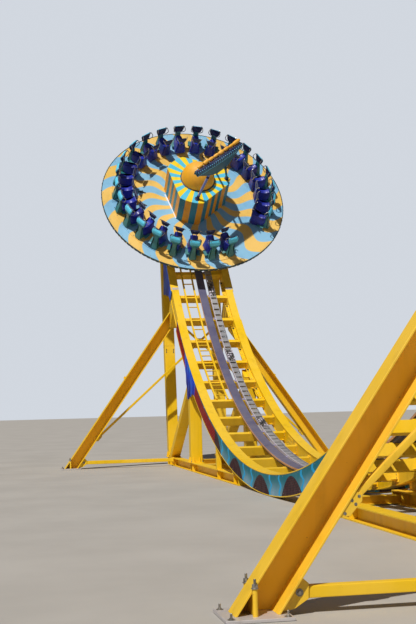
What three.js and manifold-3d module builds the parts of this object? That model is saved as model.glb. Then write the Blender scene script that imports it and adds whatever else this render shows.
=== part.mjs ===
import * as THREE from 'three';
import { mergeVertices } from 'three/addons/utils/BufferGeometryUtils.js';
import Module from 'manifold-3d';

const wasm = await Module();
wasm.setup();

// Swinging-disc ride: a half-pipe track carries a trolley with a spinning disc.
// Millimetres, +Z up, +X along the track, origin on the ground under its lowest point.

const SEAT_GAP = 0.3;

// Track arc, seen from the side, about a centre line along Y.
const TRACK_RADIUS = 16600;
const TRACK_BASE_Z = 474;
const ARC_CENTRE_Z = TRACK_BASE_Z + TRACK_RADIUS;
const RUNG_PITCH = 3.98;
const FACET = RUNG_PITCH / 2;
const TRACK_END = 70.2;
const LOWER_SPLICE = 4 * RUNG_PITCH;
const UPPER_SPLICE = 12 * RUNG_PITCH;

// Girders and the rungs between them.
const GIRDER_OUTER_Y = 1000;
const GIRDER_WIDTH = 230;
const GIRDER_INNER_Y = GIRDER_OUTER_Y - GIRDER_WIDTH;
const GIRDER_DEPTH = 400;
const RUNG_DROP = 100;
const RUNG_DEPTH = 220;
const RUNG_WIDTH = 140;

// What lies on the rungs.
const BAND_HALF_WIDTH = 122;
const BAND_DROP = 6;
const TRAY_INNER_Y = -220;
const TRAY_OUTER_Y = -425;
const LADDER_INNER_Y = 228;
const LADDER_OUTER_Y = 592;
const LADDER_START = 25.9;
const LADDER_BAR = 44;

// Side boards.
const FASCIA_THICKNESS = 25;
const FASCIA_DEPTH = 452;
const FASCIA_TOP_DROP = 14;

// Supports.
const COLUMN_FOOT_X = 13550;
const COLUMN_TOP_ANGLE = 60;
const COLUMN_WIDTH = 340;
const SUPPORT_Y = 828;
const POST_X = 9300;
const POST_WIDTH = 340;
const SMALL_POSTS_X = [3400, 5400];
const SMALL_POST_WIDTH = 130;
const SMALL_POST_Y = 932;
const BASE_BEAM_HEIGHT = 250;
const BASE_BEAM_WIDTH = 300;
const BASE_BEAM_START_X = 2900;
const BASE_BEAM_END_X = 13850;
const LEG_FOOT_X = 12700;
const LEG_FOOT_Y = 4270;
const LEG_TOP_X = 12730;
const LEG_TOP_Z = 4680;
const LEG_BRACKET_ANGLE = 45.8;
const LEG_BRACKET_DROP = 1270;
const LEG_BRACKET_OUTER_Y = 992;
const LEG_DEPTH = 340;
const LEG_WIDTH = 300;
const BRACE_WIDTH = 70;
const BRACE_X = 12760;
const BRACE_OFFSET = 40;
const BRACE_LOW = { y: 3720, z: 665 };
const BRACE_HIGH = { y: 780, z: 4720 };
const BRACE_CROSSING_Z = 4017;
const TIE_HEIGHT = 115;
const TIE_BOTTOM = 140;

// Trolley, stored at the far end of its travel.
const TROLLEY_ANGLE = 58.44;
const WHEEL_RADIUS = 150;
const WHEEL_LIFT = 0.15;
const WHEEL_TANGENT = 1220;
const WHEEL_INNER_Y = 842;
const WHEEL_OUTER_Y = 928;
const AXLE_RADIUS = 42;
const CHASSIS_HALF_LENGTH = 1360;
const CHASSIS_INNER_Y = 520;
const CHASSIS_BOTTOM = 330;
const CHASSIS_TOP = 560;
const SLEW_RADIUS = 740;
const SLEW_BORE = 600;
const SLEW_JOINT = 646;

// Disc, in heights above the running surface.
const DECK_TOP = 992;
const DECK_THICKNESS = 60;
const DECK_RADIUS = 3078;
const DISC_RADIUS = 3100;
const HUB_CENTRE = [-80, 0];
const HUB_RADIUS = 1070;
const HUB_FLAT = 832;
const HUB_FACE_ANGLE = 42.3;
const HUB_HEIGHT = 1030;
const LID_THICKNESS = 30;
const DOME_RADIUS = 548;
const HULL_TOP = 2480;
const SEAT_PITCH = 360 / 26;
const FIRST_SEAT_ANGLE = 242;
const SEATS_PER_BANK = 4;
const BANK_COUNT = 6;

const PAINT = {
  yellow: [0xf2c21a, 0.45, 0.1],
  slate: [0x646a90, 0.55, 0.2],
  silver: [0xb4b6ba, 0.4, 0.7],
  teal: [0x3a8fa0, 0.5, 0.0],
  sky: [0x86bddf, 0.5, 0.0],
  royal: [0x2c3fa8, 0.5, 0.0],
  cyan: [0x4ab4d0, 0.5, 0.0],
  gold: [0xe8b23c, 0.4, 0.1],
  steel: [0x55585c, 0.5, 0.6],
  black: [0x1c1c1e, 0.8, 0.0],
};

const AXIS_X = new THREE.Vector3(1, 0, 0);
const AXIS_Y = new THREE.Vector3(0, 1, 0);
const AXIS_Z = new THREE.Vector3(0, 0, 1);

function rad(degrees) {
  return degrees * Math.PI / 180;
}

function vec(x, y, z) {
  return new THREE.Vector3(x, y, z);
}

// Solids.

function signedVolume(points, triangles) {
  let total = 0;
  for (const [a, b, c] of triangles) {
    total += points[a].dot(points[b].clone().cross(points[c]));
  }
  return total / 6;
}

function solidFrom(points, triangles) {
  const outward = signedVolume(points, triangles) > 0;
  const order = outward ? triangles : triangles.map(([a, b, c]) => [a, c, b]);
  const mesh = new wasm.Mesh({
    numProp: 3,
    vertProperties: new Float32Array(points.flatMap((p) => [p.x, p.y, p.z])),
    triVerts: new Uint32Array(order.flat()),
  });
  return new wasm.Manifold(mesh);
}

function capTriangles(count) {
  const triangles = [];
  for (let i = 1; i < count - 1; i += 1) {
    triangles.push([0, i, i + 1]);
  }
  return triangles;
}

// Joins a list of like outlines into one closed solid with flat ends.
function loft(rings, cap = null) {
  const count = rings[0].length;
  const points = rings.flat();
  const triangles = [];
  for (let k = 0; k < rings.length - 1; k += 1) {
    for (let i = 0; i < count; i += 1) {
      const a = k * count + i;
      const b = k * count + (i + 1) % count;
      triangles.push([a, b, b + count], [a, b + count, a + count]);
    }
  }
  const ends = cap ?? capTriangles(count);
  const last = (rings.length - 1) * count;
  for (const [a, b, c] of ends) {
    triangles.push([a, c, b], [last + a, last + b, last + c]);
  }
  return solidFrom(points, triangles);
}

function fuse(solids) {
  return solids.slice(1).reduce((sum, solid) => sum.add(solid), solids[0]);
}

function frameAt(origin, u, v, w) {
  return { origin, u, v, w };
}

const GROUND = frameAt(vec(0, 0, 0), AXIS_X, AXIS_Y, AXIS_Z);

function place(frame, a, b, c) {
  return frame.origin.clone()
    .addScaledVector(frame.u, a)
    .addScaledVector(frame.v, b)
    .addScaledVector(frame.w, c);
}

function box(frame, [a0, a1], [b0, b1], [c0, c1]) {
  const ring = (c) => [[a0, b0], [a1, b0], [a1, b1], [a0, b1]].map(([a, b]) => place(frame, a, b, c));
  return loft([ring(c0), ring(c1)]);
}

// A straight bar of rectangular section from one point to another.
function bar(from, to, width, depth, across = AXIS_Y) {
  const along = to.clone().sub(from).normalize();
  const deep = along.clone().cross(across).normalize();
  const wide = deep.clone().cross(along).normalize();
  const frame = frameAt(from, wide, deep, along);
  return box(frame, [-width / 2, width / 2], [-depth / 2, depth / 2], [0, from.distanceTo(to)]);
}

function circle(frame, radius, height, count, centre = [0, 0]) {
  return Array.from({ length: count }, (_, i) => {
    const angle = 2 * Math.PI * i / count;
    return place(frame, centre[0] + radius * Math.cos(angle), centre[1] + radius * Math.sin(angle), height);
  });
}

function disc(frame, radius, [low, high], count = 24, centre = [0, 0]) {
  return loft([circle(frame, radius, low, count, centre), circle(frame, radius, high, count, centre)]);
}

// A flat ring of rectangular section.
function ring(frame, outer, inner, [low, high], count = 48) {
  const corners = [[outer, low], [outer, high], [inner, high], [inner, low]];
  const points = [];
  const triangles = [];
  for (let k = 0; k < count; k += 1) {
    const angle = 2 * Math.PI * k / count;
    corners.forEach(([radius, height], i) => {
      points.push(place(frame, radius * Math.cos(angle), radius * Math.sin(angle), height));
      const a = k * 4 + i;
      const b = k * 4 + (i + 1) % 4;
      const c = (k + 1) % count * 4 + (i + 1) % 4;
      const d = (k + 1) % count * 4 + i;
      triangles.push([a, b, c], [a, c, d]);
    });
  }
  return solidFrom(points, triangles);
}

function extrudeOutline(frame, outline, [low, high]) {
  const flat = outline.map(([a, b]) => new THREE.Vector2(a, b));
  const triangles = THREE.ShapeUtils.triangulateShape(flat, []);
  const at = (c) => outline.map(([a, b]) => place(frame, a, b, c));
  return loft([at(low), at(high)], triangles);
}

// Track arc.

function onArc(angle, radius, y = 0) {
  const a = rad(angle);
  return vec(radius * Math.sin(a), y, ARC_CENTRE_Z - radius * Math.cos(a));
}

// Radius of the faceted arc at an angle: facets are centred on multiples of FACET.
function facetRadius(radius, angle) {
  const nearest = Math.round(angle / FACET) * FACET;
  return radius * Math.cos(rad(FACET / 2)) / Math.cos(rad(angle - nearest));
}

function facetAngles(start, end) {
  const angles = [start];
  const first = Math.ceil(start / FACET - 0.5) + 0.5;
  for (let k = first; k * FACET < end; k += 1) {
    if (k * FACET > start + 0.01 && k * FACET < end - 0.01) {
      angles.push(k * FACET);
    }
  }
  angles.push(end);
  return angles;
}

function arcBar([start, end], [inner, outer], [y0, y1]) {
  const rings = facetAngles(start, end).map((angle) => {
    const near = facetRadius(TRACK_RADIUS + inner, angle);
    const far = facetRadius(TRACK_RADIUS + (typeof outer === 'function' ? outer(angle) : outer), angle);
    return [onArc(angle, near, y0), onArc(angle, near, y1), onArc(angle, far, y1), onArc(angle, far, y0)];
  });
  return loft(rings);
}

// Tangent frame of the track at an angle: u uphill, v along Y, w towards the arc's centre.
function tangentFrame(angle, radius = TRACK_RADIUS) {
  const a = rad(angle);
  const u = vec(Math.cos(a), 0, Math.sin(a));
  const w = vec(-Math.sin(a), 0, Math.cos(a));
  return frameAt(onArc(angle, radius), u, AXIS_Y, w);
}

function arcBlock(angle, width, [top, bottom], [y0, y1]) {
  const frame = tangentFrame(angle, (TRACK_RADIUS + top) * Math.cos(rad(FACET / 2)));
  return box(frame, [-width / 2, width / 2], [y0, y1], [top - bottom, 0]);
}

function trackSection(start, end) {
  const gap = SEAT_GAP / 2 / TRACK_RADIUS * 180 / Math.PI;
  const span = [start + gap, end - gap];
  const girders = [-1, 1].map((side) => {
    const ys = [side * GIRDER_INNER_Y, side * GIRDER_OUTER_Y];
    return arcBar(span, [0, GIRDER_DEPTH], ys);
  });
  const rungs = [];
  for (let k = -18; k < 18; k += 1) {
    const angle = (k + 0.5) * RUNG_PITCH;
    if (angle > start && angle < end) {
      const reach = GIRDER_INNER_Y + 5;
      rungs.push(arcBlock(angle, RUNG_WIDTH, [RUNG_DROP, RUNG_DROP + RUNG_DEPTH], [-reach, reach]));
    }
  }
  return fuse([...girders, ...rungs]);
}

function driveBand() {
  const bottom = RUNG_DROP - SEAT_GAP;
  return arcBar([-TRACK_END, TRACK_END], [BAND_DROP, bottom], [-BAND_HALF_WIDTH, BAND_HALF_WIDTH]);
}

function powerTray() {
  const bottom = RUNG_DROP - SEAT_GAP;
  const edge = 18;
  const rails = [TRAY_INNER_Y - edge, TRAY_OUTER_Y].map((y) => (
    arcBar([-TRACK_END, TRACK_END], [34, bottom], [y, y + edge])
  ));
  const plates = [];
  for (let k = -35; k <= 35; k += 1) {
    plates.push(arcBlock(k * FACET, 470, [52, 74], [TRAY_OUTER_Y + 4, TRAY_INNER_Y - 4]));
  }
  return fuse([...rails, ...plates]);
}

function escapeLadder(side) {
  const span = side > 0 ? [LADDER_START, TRACK_END - 0.4] : [-TRACK_END + 0.4, -LADDER_START];
  const bottom = RUNG_DROP - SEAT_GAP;
  const rails = [LADDER_INNER_Y, LADDER_OUTER_Y - LADDER_BAR].map((y) => (
    arcBar(span, [bottom - 50, bottom], [y, y + LADDER_BAR])
  ));
  const steps = [];
  for (let k = 1; k < 44; k += 1) {
    const angle = side * (LADDER_START + k * FACET / 2);
    steps.push(arcBlock(angle, 30, [bottom - 42, bottom - 12], [LADDER_INNER_Y + 5, LADDER_OUTER_Y - 5]));
  }
  return fuse([...rails, ...steps]);
}

// Lower edge of the side boards: full depth, with a flame-shaped peak near each end.
const FLAME_PEAKS = [
  { centre: 32.2, half: 2.7, drop: 640 },
  { centre: 50.2, half: 3.2, drop: 760 },
];

function fasciaDrop(angle) {
  const a = Math.abs(angle);
  const flames = FLAME_PEAKS.map(({ centre, half, drop }) => (
    drop * Math.max(0, 1 - Math.abs(a - centre) / half)
  ));
  return FASCIA_DEPTH + Math.max(...flames);
}

function fasciaBoard(side, start, end) {
  const inner = GIRDER_OUTER_Y + SEAT_GAP;
  const ys = [side * inner, side * (inner + FASCIA_THICKNESS)];
  return arcBar([start, end], [FASCIA_TOP_DROP, fasciaDrop], ys);
}

// Supports.

function underside(angle, gap = SEAT_GAP) {
  return facetRadius(TRACK_RADIUS + GIRDER_DEPTH, angle) + gap;
}

// Cuts away what rises past the underside of the girders.
function belowTrack(solid, start, end) {
  const keepOut = arcBar([start, end], [-900, GIRDER_DEPTH + SEAT_GAP], [-1500, 1500]);
  return solid.subtract(keepOut);
}

// Everything closer to the middle plane than a given distance.
function within(distance) {
  return box(GROUND, [-20000, 20000], [-distance, distance], [-500, 9000]);
}

function footPlate(x, y, z, size) {
  return box(GROUND, [x - size / 2, x + size / 2], [y - size / 2, y + size / 2], [z, z + 30]);
}

function tallColumn(endSide, side) {
  const y = side * SUPPORT_Y;
  const z = BASE_BEAM_HEIGHT + SEAT_GAP;
  const foot = vec(endSide * COLUMN_FOOT_X, y, z);
  const top = onArc(endSide * COLUMN_TOP_ANGLE, TRACK_RADIUS + 200, y);
  const shaft = bar(foot, top, COLUMN_WIDTH, COLUMN_WIDTH);
  const span = endSide > 0 ? [45, TRACK_END] : [-TRACK_END, -45];
  const trimmed = belowTrack(shaft, ...span);
  const plate = footPlate(foot.x, y, z, 440);
  const floor = box(GROUND, [-20000, 20000], [-2000, 2000], [-500, z]);
  return fuse([trimmed, plate]).subtract(floor);
}

function shortPost(endSide, side) {
  const y = side * SUPPORT_Y;
  const z = BASE_BEAM_HEIGHT + SEAT_GAP;
  const foot = vec(endSide * POST_X, y, z);
  const post = bar(foot, vec(endSide * POST_X, y, 3200), POST_WIDTH, POST_WIDTH);
  const low = vec(endSide * (COLUMN_FOOT_X - 420), y, z + 110);
  const high = vec(endSide * (POST_X + 60), y, 2620);
  const strut = bar(low, high, 300, 230);
  const span = endSide > 0 ? [20, 45] : [-45, -20];
  const trimmed = belowTrack(fuse([post, strut]), ...span);
  const floor = box(GROUND, [-20000, 20000], [-2000, 2000], [-500, z]);
  return fuse([trimmed, footPlate(foot.x, y, z, 440)]).subtract(floor);
}

function smallPost(endSide, side, x) {
  const y = side * SMALL_POST_Y;
  const angle = Math.asin(x / (TRACK_RADIUS + GIRDER_DEPTH)) * 180 / Math.PI;
  const top = onArc(endSide * angle, underside(angle), y).z;
  const half = SMALL_POST_WIDTH / 2;
  const post = box(GROUND, [endSide * x - half, endSide * x + half], [y - half, y + half], [100, top + 60]);
  const span = endSide > 0 ? [2, 30] : [-30, -2];
  return belowTrack(post, ...span);
}

function baseFrame(endSide) {
  const pieces = [];
  const ends = [endSide * BASE_BEAM_START_X, endSide * BASE_BEAM_END_X].sort((a, b) => a - b);
  for (const side of [-1, 1]) {
    const y = side * SUPPORT_Y;
    const half = BASE_BEAM_WIDTH / 2;
    pieces.push(box(GROUND, ends, [y - half, y + half], [0, BASE_BEAM_HEIGHT]));
    for (const x of SMALL_POSTS_X) {
      pieces.push(smallPost(endSide, side, x));
    }
    const tie = [SUPPORT_Y + 50, LEG_FOOT_Y - 384].map((v) => side * v).sort((a, b) => a - b);
    const tieX = endSide * LEG_FOOT_X;
    const tieSpan = [tieX - 60, tieX + 60];
    pieces.push(box(GROUND, tieSpan, tie, [TIE_BOTTOM, TIE_BOTTOM + TIE_HEIGHT - 5]));
  }
  for (const x of [BASE_BEAM_START_X + 200, POST_X, LEG_FOOT_X]) {
    const centre = endSide * x;
    pieces.push(box(GROUND, [centre - 90, centre + 90], [-SUPPORT_Y, SUPPORT_Y], [20, 180]));
  }
  return fuse(pieces);
}

// Hangs under the girder and takes the top of a raking leg.
function legBracket(endSide, side) {
  const { origin, u, w } = tangentFrame(endSide * LEG_BRACKET_ANGLE);
  const frame = frameAt(origin, u, w, AXIS_Y);
  const foot = -LEG_BRACKET_DROP;
  const head = 30 - GIRDER_DEPTH;
  const outline = [[-215, foot], [215, foot], [340, head], [-340, head]];
  const ys = [side * (GIRDER_INNER_Y + 10), side * LEG_BRACKET_OUTER_Y].sort((a, b) => a - b);
  const span = endSide > 0 ? [40, 52] : [-52, -40];
  return belowTrack(extrudeOutline(frame, outline, ys), ...span);
}

// Runs from one leg's ankle up to the bracket of the leg opposite, crossing its fellow midway.
function crossBrace(endSide, side) {
  const x = endSide * (BRACE_X + side * BRACE_OFFSET);
  const wall = -side * (GIRDER_INNER_Y + 10 - SEAT_GAP);
  const low = vec(x, side * BRACE_LOW.y, BRACE_LOW.z);
  const high = vec(x, -side * BRACE_HIGH.y, BRACE_HIGH.z);
  const over = high.clone().add(high.clone().sub(low).multiplyScalar(0.02));
  const tube = bar(low, over, BRACE_WIDTH, BRACE_WIDTH, AXIS_X);
  const spread = (centre, half) => [centre - half, centre + half];
  const endY = [wall, wall + side * 12].sort((a, b) => a - b);
  const endPlate = box(GROUND, spread(x, 75), endY, spread(BRACE_HIGH.z, 75));
  const beyond = [wall, wall - side * 2000].sort((a, b) => a - b);
  const trimmed = fuse([tube, endPlate]).subtract(box(GROUND, [-20000, 20000], beyond, [-500, 9000]));
  if (side < 0) {
    return trimmed;
  }
  const inner = BRACE_X + BRACE_WIDTH / 2 - BRACE_OFFSET + SEAT_GAP;
  const gusset = [inner, inner + 11].map((v) => endSide * v).sort((a, b) => a - b);
  return trimmed.add(box(GROUND, gusset, [-130, 130], spread(BRACE_CROSSING_Z, 110)));
}

function rakingLeg(endSide, side) {
  const foot = vec(endSide * LEG_FOOT_X, side * LEG_FOOT_Y, 20);
  const top = vec(endSide * LEG_TOP_X, side * GIRDER_OUTER_Y, LEG_TOP_Z);
  const over = top.clone().add(top.clone().sub(foot).multiplyScalar(0.08));
  const leg = bar(foot, over, LEG_WIDTH, LEG_DEPTH, AXIS_X);
  const inside = within(LEG_BRACKET_OUTER_Y - 5);
  const foundation = footPlate(foot.x, foot.y, 0, 620);
  const below = box(GROUND, [-20000, 20000], [-9000, 9000], [-900, 0]);
  const parts = [leg.subtract(inside), legBracket(endSide, side), crossBrace(endSide, side), foundation];
  return fuse(parts).subtract(below);
}

// Trolley.

const TROLLEY = tangentFrame(TROLLEY_ANGLE);

function surfaceRise(tangent) {
  return TRACK_RADIUS - Math.sqrt(TRACK_RADIUS ** 2 - tangent ** 2);
}

// Axle centre, as [along, height] in the trolley's frame, for a wheel resting on the facets.
function axleCentre(end) {
  const angle = Math.asin(WHEEL_TANGENT / TRACK_RADIUS);
  const reach = TRACK_RADIUS * Math.cos(rad(FACET / 2)) - WHEEL_LIFT - WHEEL_RADIUS;
  return [end * reach * Math.sin(angle), TRACK_RADIUS - reach * Math.cos(angle)];
}

const AXLE_HEIGHT = axleCentre(1)[1];

// Frame about an axis across the trolley, turned so that one facet corner points at the track.
function crossFrame(tangent, height) {
  const lean = Math.atan2(tangent, TRACK_RADIUS - height);
  const along = TROLLEY.u.clone().multiplyScalar(Math.cos(lean)).addScaledVector(TROLLEY.w, Math.sin(lean));
  const down = TROLLEY.w.clone().multiplyScalar(-Math.cos(lean)).addScaledVector(TROLLEY.u, Math.sin(lean));
  return frameAt(place(TROLLEY, tangent, 0, height), along, down, AXIS_Y);
}

function wheelset(end) {
  const frame = crossFrame(...axleCentre(end));
  const axle = disc(frame, AXLE_RADIUS, [-WHEEL_OUTER_Y, WHEEL_OUTER_Y], 16);
  const wheels = [-1, 1].map((side) => {
    const span = [side * WHEEL_INNER_Y, side * WHEEL_OUTER_Y].sort((a, b) => a - b);
    return disc(frame, WHEEL_RADIUS, span, 28);
  });
  return fuse([axle, ...wheels]);
}

function chassis() {
  const pieces = [];
  const length = [-CHASSIS_HALF_LENGTH, CHASSIS_HALF_LENGTH];
  for (const side of [-1, 1]) {
    const beam = [side * CHASSIS_INNER_Y, side * 690].sort((a, b) => a - b);
    pieces.push(box(TROLLEY, length, beam, [CHASSIS_BOTTOM, CHASSIS_TOP]));
    for (const end of [-1, 1]) {
      const t = end * WHEEL_TANGENT;
      const hanger = [side * 680, side * 815].sort((a, b) => a - b);
      pieces.push(box(TROLLEY, [t - 110, t + 110], hanger, [AXLE_HEIGHT - 80, CHASSIS_TOP - 40]));
      const roller = [end * 960, side * 700];
      pieces.push(disc(TROLLEY, 22, [0, CHASSIS_BOTTOM + 40], 12, [roller[0], side * 676]));
      pieces.push(disc(TROLLEY, 60, [-10, 62], 20, [roller[0], side * 700]));
    }
  }
  for (const t of [-1280, -60, 1160]) {
    pieces.push(box(TROLLEY, [t, t + 120], [-530, 530], [CHASSIS_BOTTOM + 20, CHASSIS_TOP - 10]));
  }
  pieces.push(box(TROLLEY, [-780, 780], [-780, 780], [CHASSIS_TOP - 5, CHASSIS_TOP + 20]));
  pieces.push(ring(TROLLEY, SLEW_RADIUS, SLEW_BORE, [CHASSIS_TOP + 10, SLEW_JOINT], 32));
  const bores = [-1, 1].map((end) => (
    disc(crossFrame(...axleCentre(end)), AXLE_RADIUS + SEAT_GAP, [-2000, 2000], 16)
  ));
  return bores.reduce((body, bore) => body.subtract(bore), fuse(pieces));
}

function driveUnit() {
  const t = -520;
  const tyreRadius = 165;
  const height = surfaceRise(t) + tyreRadius + 8 - BAND_DROP + 4;
  const frame = crossFrame(t, height);
  const tyre = disc(frame, tyreRadius, [-100, 100], 28);
  const shaft = disc(frame, 36, [-260, 420], 16);
  const gearbox = box(TROLLEY, [t - 130, t + 130], [150, 300], [height - 110, CHASSIS_BOTTOM + 20]);
  const motor = disc(frame, 105, [290, 500], 20);
  const bearing = box(TROLLEY, [t - 70, t + 70], [-260, -180], [height - 70, CHASSIS_BOTTOM + 20]);
  const reach = CHASSIS_INNER_Y - SEAT_GAP;
  const top = box(TROLLEY, [t - 170, t + 170], [-reach, reach], [CHASSIS_BOTTOM + 10, CHASSIS_BOTTOM + 60]);
  return fuse([tyre, shaft, gearbox, motor, bearing, top]);
}

// Disc.

function turntable() {
  const low = SLEW_JOINT + SEAT_GAP;
  const high = DECK_TOP - DECK_THICKNESS - SEAT_GAP;
  const parts = [ring(TROLLEY, SLEW_RADIUS, SLEW_BORE, [low, high], 32)];
  parts.push(ring(TROLLEY, 2260, 2180, [high - 130, high], 36));
  for (let k = 0; k < 8; k += 1) {
    const a = rad(k * 45 + 22.5);
    const u = TROLLEY.u.clone().multiplyScalar(Math.cos(a)).addScaledVector(TROLLEY.v, Math.sin(a));
    const v = TROLLEY.v.clone().multiplyScalar(Math.cos(a)).addScaledVector(TROLLEY.u, -Math.sin(a));
    const profile = [[700, low + 10], [1100, low + 20], [3000, high - 60], [3000, high], [700, high]];
    const side = frameAt(TROLLEY.origin, u, TROLLEY.w, v);
    parts.push(extrudeOutline(side, profile, [-35, 35]));
  }
  return fuse(parts);
}

function deck() {
  return disc(TROLLEY, DECK_RADIUS, [DECK_TOP - DECK_THICKNESS, DECK_TOP], 72);
}

function rim() {
  return ring(TROLLEY, DISC_RADIUS, DECK_RADIUS + 1, [DECK_TOP - 86, DECK_TOP + 8], 72);
}

// Plan of the drum: a circle cut by three flat faces, in disc coordinates.
function hubOutline(grow = 0) {
  const half = 60 - Math.acos(HUB_FLAT / HUB_RADIUS) * 180 / Math.PI;
  const radius = HUB_RADIUS + grow;
  const outline = [];
  for (let k = 0; k < 3; k += 1) {
    for (let j = -2; j <= 2; j += 1) {
      const a = rad(HUB_FACE_ANGLE + 120 * k + half * j / 2);
      outline.push([HUB_CENTRE[0] + radius * Math.cos(a), HUB_CENTRE[1] + radius * Math.sin(a)]);
    }
  }
  return outline;
}

function hubDrum() {
  const top = DECK_TOP + HUB_HEIGHT;
  const walls = extrudeOutline(TROLLEY, hubOutline(), [DECK_TOP + SEAT_GAP, top - 10]);
  const lid = extrudeOutline(TROLLEY, hubOutline(10), [top - LID_THICKNESS, top]);
  return walls.add(lid);
}

function dome() {
  const base = DECK_TOP + HUB_HEIGHT + SEAT_GAP;
  const rings = [circle(TROLLEY, DOME_RADIUS, base, 28, HUB_CENTRE)];
  for (let k = 0; k < 7; k += 1) {
    const a = rad(k * 13.8);
    const height = base + 40 + DOME_RADIUS * Math.sin(a);
    rings.push(circle(TROLLEY, DOME_RADIUS * Math.cos(a), height, 28, HUB_CENTRE));
  }
  return loft(rings);
}

// Keel line of the ornament, as [uphill, across] points on the disc.
const HULL_STERN = [-1253, 400];
const HULL_BOW = [134, -1255];

function hullPoint(fraction, aside, height) {
  const along = [HULL_BOW[0] - HULL_STERN[0], HULL_BOW[1] - HULL_STERN[1]];
  const length = Math.hypot(...along);
  const a = HULL_STERN[0] + along[0] * fraction - aside * along[1] / length;
  const b = HULL_STERN[1] + along[1] * fraction + aside * along[0] / length;
  return place(TROLLEY, a, b, DECK_TOP + height);
}

// Stations along the hull: [fraction, half width on top, keel offset, keel depth].
const HULL_STATIONS = [
  [0, 62, -50, 60],
  [0.33, 85, -10, 530],
  [0.51, 90, -40, 650],
  [0.77, 85, 0, 690],
  [0.88, 80, -25, 330],
  [1, 60, -50, 60],
];

// Feet on the lid, and the fraction, offset and drop at which each leg meets the hull.
const ORNAMENT_LEGS = [
  { foot: [-975, 120], head: [0.33, -10, 490] },
  { foot: [-50, -985], head: [0.7, -20, 640] },
  { foot: [600, -560], head: [0.6, 10, 600] },
];

function ornament() {
  const hull = loft(HULL_STATIONS.map(([fraction, half, keel, deep]) => [
    hullPoint(fraction, -half, HULL_TOP),
    hullPoint(fraction, 0, HULL_TOP + 50),
    hullPoint(fraction, half, HULL_TOP),
    hullPoint(fraction, keel, HULL_TOP - deep),
  ]));
  const lid = DECK_TOP + HUB_HEIGHT + SEAT_GAP;
  const legs = ORNAMENT_LEGS.map(({ foot, head }) => {
    const [fraction, aside, drop] = head;
    const leg = bar(place(TROLLEY, ...foot, lid), hullPoint(fraction, aside, HULL_TOP - drop), 64, 64, AXIS_X);
    return leg.add(disc(TROLLEY, 85, [lid, lid + 24], 16, foot));
  });
  return fuse([hull, ...legs]).subtract(disc(TROLLEY, 1500, [lid - 400, lid], 24));
}

function seatFrame(index) {
  const a = rad(FIRST_SEAT_ANGLE + index * SEAT_PITCH);
  const u = TROLLEY.u.clone().multiplyScalar(Math.cos(a)).addScaledVector(TROLLEY.v, Math.sin(a));
  const v = TROLLEY.v.clone().multiplyScalar(Math.cos(a)).addScaledVector(TROLLEY.u, -Math.sin(a));
  return frameAt(place(TROLLEY, 0, 0, DECK_TOP), u, TROLLEY.w, v);
}

// Side outlines of one straddle seat: [radius, height above the deck].
const PEDESTAL = [
  [2050, 5], [2760, 5], [2735, 120], [2655, 330], [2672, 590], [2600, 600],
  [2560, 430], [2470, 385], [2280, 385], [2165, 440], [2085, 455], [2100, 220],
];
const CHEST_PAD = [[2592, 530], [2672, 525], [2710, 840], [2640, 855]];
const BACK_PAD = [[2062, 560], [2120, 560], [2112, 760], [2056, 760]];
const BACK_ARM = [[2090, 400], [2140, 400], [2112, 600], [2070, 600]];

function seat(index) {
  const frame = seatFrame(index);
  return fuse([
    extrudeOutline(frame, PEDESTAL, [-115, 115]),
    extrudeOutline(frame, CHEST_PAD, [-180, 180]),
    extrudeOutline(frame, BACK_PAD, [-150, 150]),
    extrudeOutline(frame, BACK_ARM, [-30, 30]),
  ]);
}

function plinth(first) {
  const low = DECK_TOP + SEAT_GAP;
  const start = FIRST_SEAT_ANGLE + first * SEAT_PITCH - 4.6;
  const sweep = (SEATS_PER_BANK - 1) * SEAT_PITCH + 9.2;
  const steps = 6;
  const rings = Array.from({ length: steps + 1 }, (_, k) => {
    const a = rad(start + sweep * k / steps);
    const at = (r, c) => place(TROLLEY, r * Math.cos(a), r * Math.sin(a), c);
    return [at(2030, low), at(2780, low), at(2780, low + 16), at(2030, low + 16)];
  });
  return loft(rings);
}

function seatBank(bank) {
  const first = bank * SEATS_PER_BANK;
  const seats = Array.from({ length: SEATS_PER_BANK }, (_, k) => seat(first + k));
  return fuse([plinth(first), ...seats]);
}

// Assembly.

const part = new THREE.Group();
part.name = 'half_pipe_spinning_disc_ride';

function add(name, solid, [colour, roughness, metalness]) {
  const { vertProperties, triVerts, numProp } = solid.getMesh();
  const positions = new Float32Array(triVerts.length * 3);
  triVerts.forEach((vertex, i) => {
    for (let axis = 0; axis < 3; axis += 1) {
      positions[i * 3 + axis] = vertProperties[vertex * numProp + axis];
    }
  });
  const geometry = new THREE.BufferGeometry();
  geometry.setAttribute('position', new THREE.BufferAttribute(positions, 3));
  const welded = mergeVertices(geometry, 0.001);
  const material = new THREE.MeshStandardMaterial({ color: colour, roughness, metalness });
  const mesh = new THREE.Mesh(welded, material);
  mesh.name = name;
  part.add(mesh);
}

add('track_middle', trackSection(-LOWER_SPLICE, LOWER_SPLICE), PAINT.yellow);
add('track_far_lower', trackSection(LOWER_SPLICE, UPPER_SPLICE), PAINT.yellow);
add('track_far_upper', trackSection(UPPER_SPLICE, TRACK_END), PAINT.yellow);
add('track_near_lower', trackSection(-UPPER_SPLICE, -LOWER_SPLICE), PAINT.yellow);
add('track_near_upper', trackSection(-TRACK_END, -UPPER_SPLICE), PAINT.yellow);
add('drive_band', driveBand(), PAINT.slate);
add('power_tray', powerTray(), PAINT.silver);
add('ladder_far', escapeLadder(1), PAINT.yellow);
add('ladder_near', escapeLadder(-1), PAINT.yellow);
for (const [name, side] of [['left', 1], ['right', -1]]) {
  add(`fascia_${name}_middle`, fasciaBoard(side, -41.3, 41.3), PAINT.teal);
  add(`fascia_${name}_far`, fasciaBoard(side, 46.4, 56), PAINT.royal);
  add(`fascia_${name}_near`, fasciaBoard(side, -56, -46.4), PAINT.royal);
}
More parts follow.
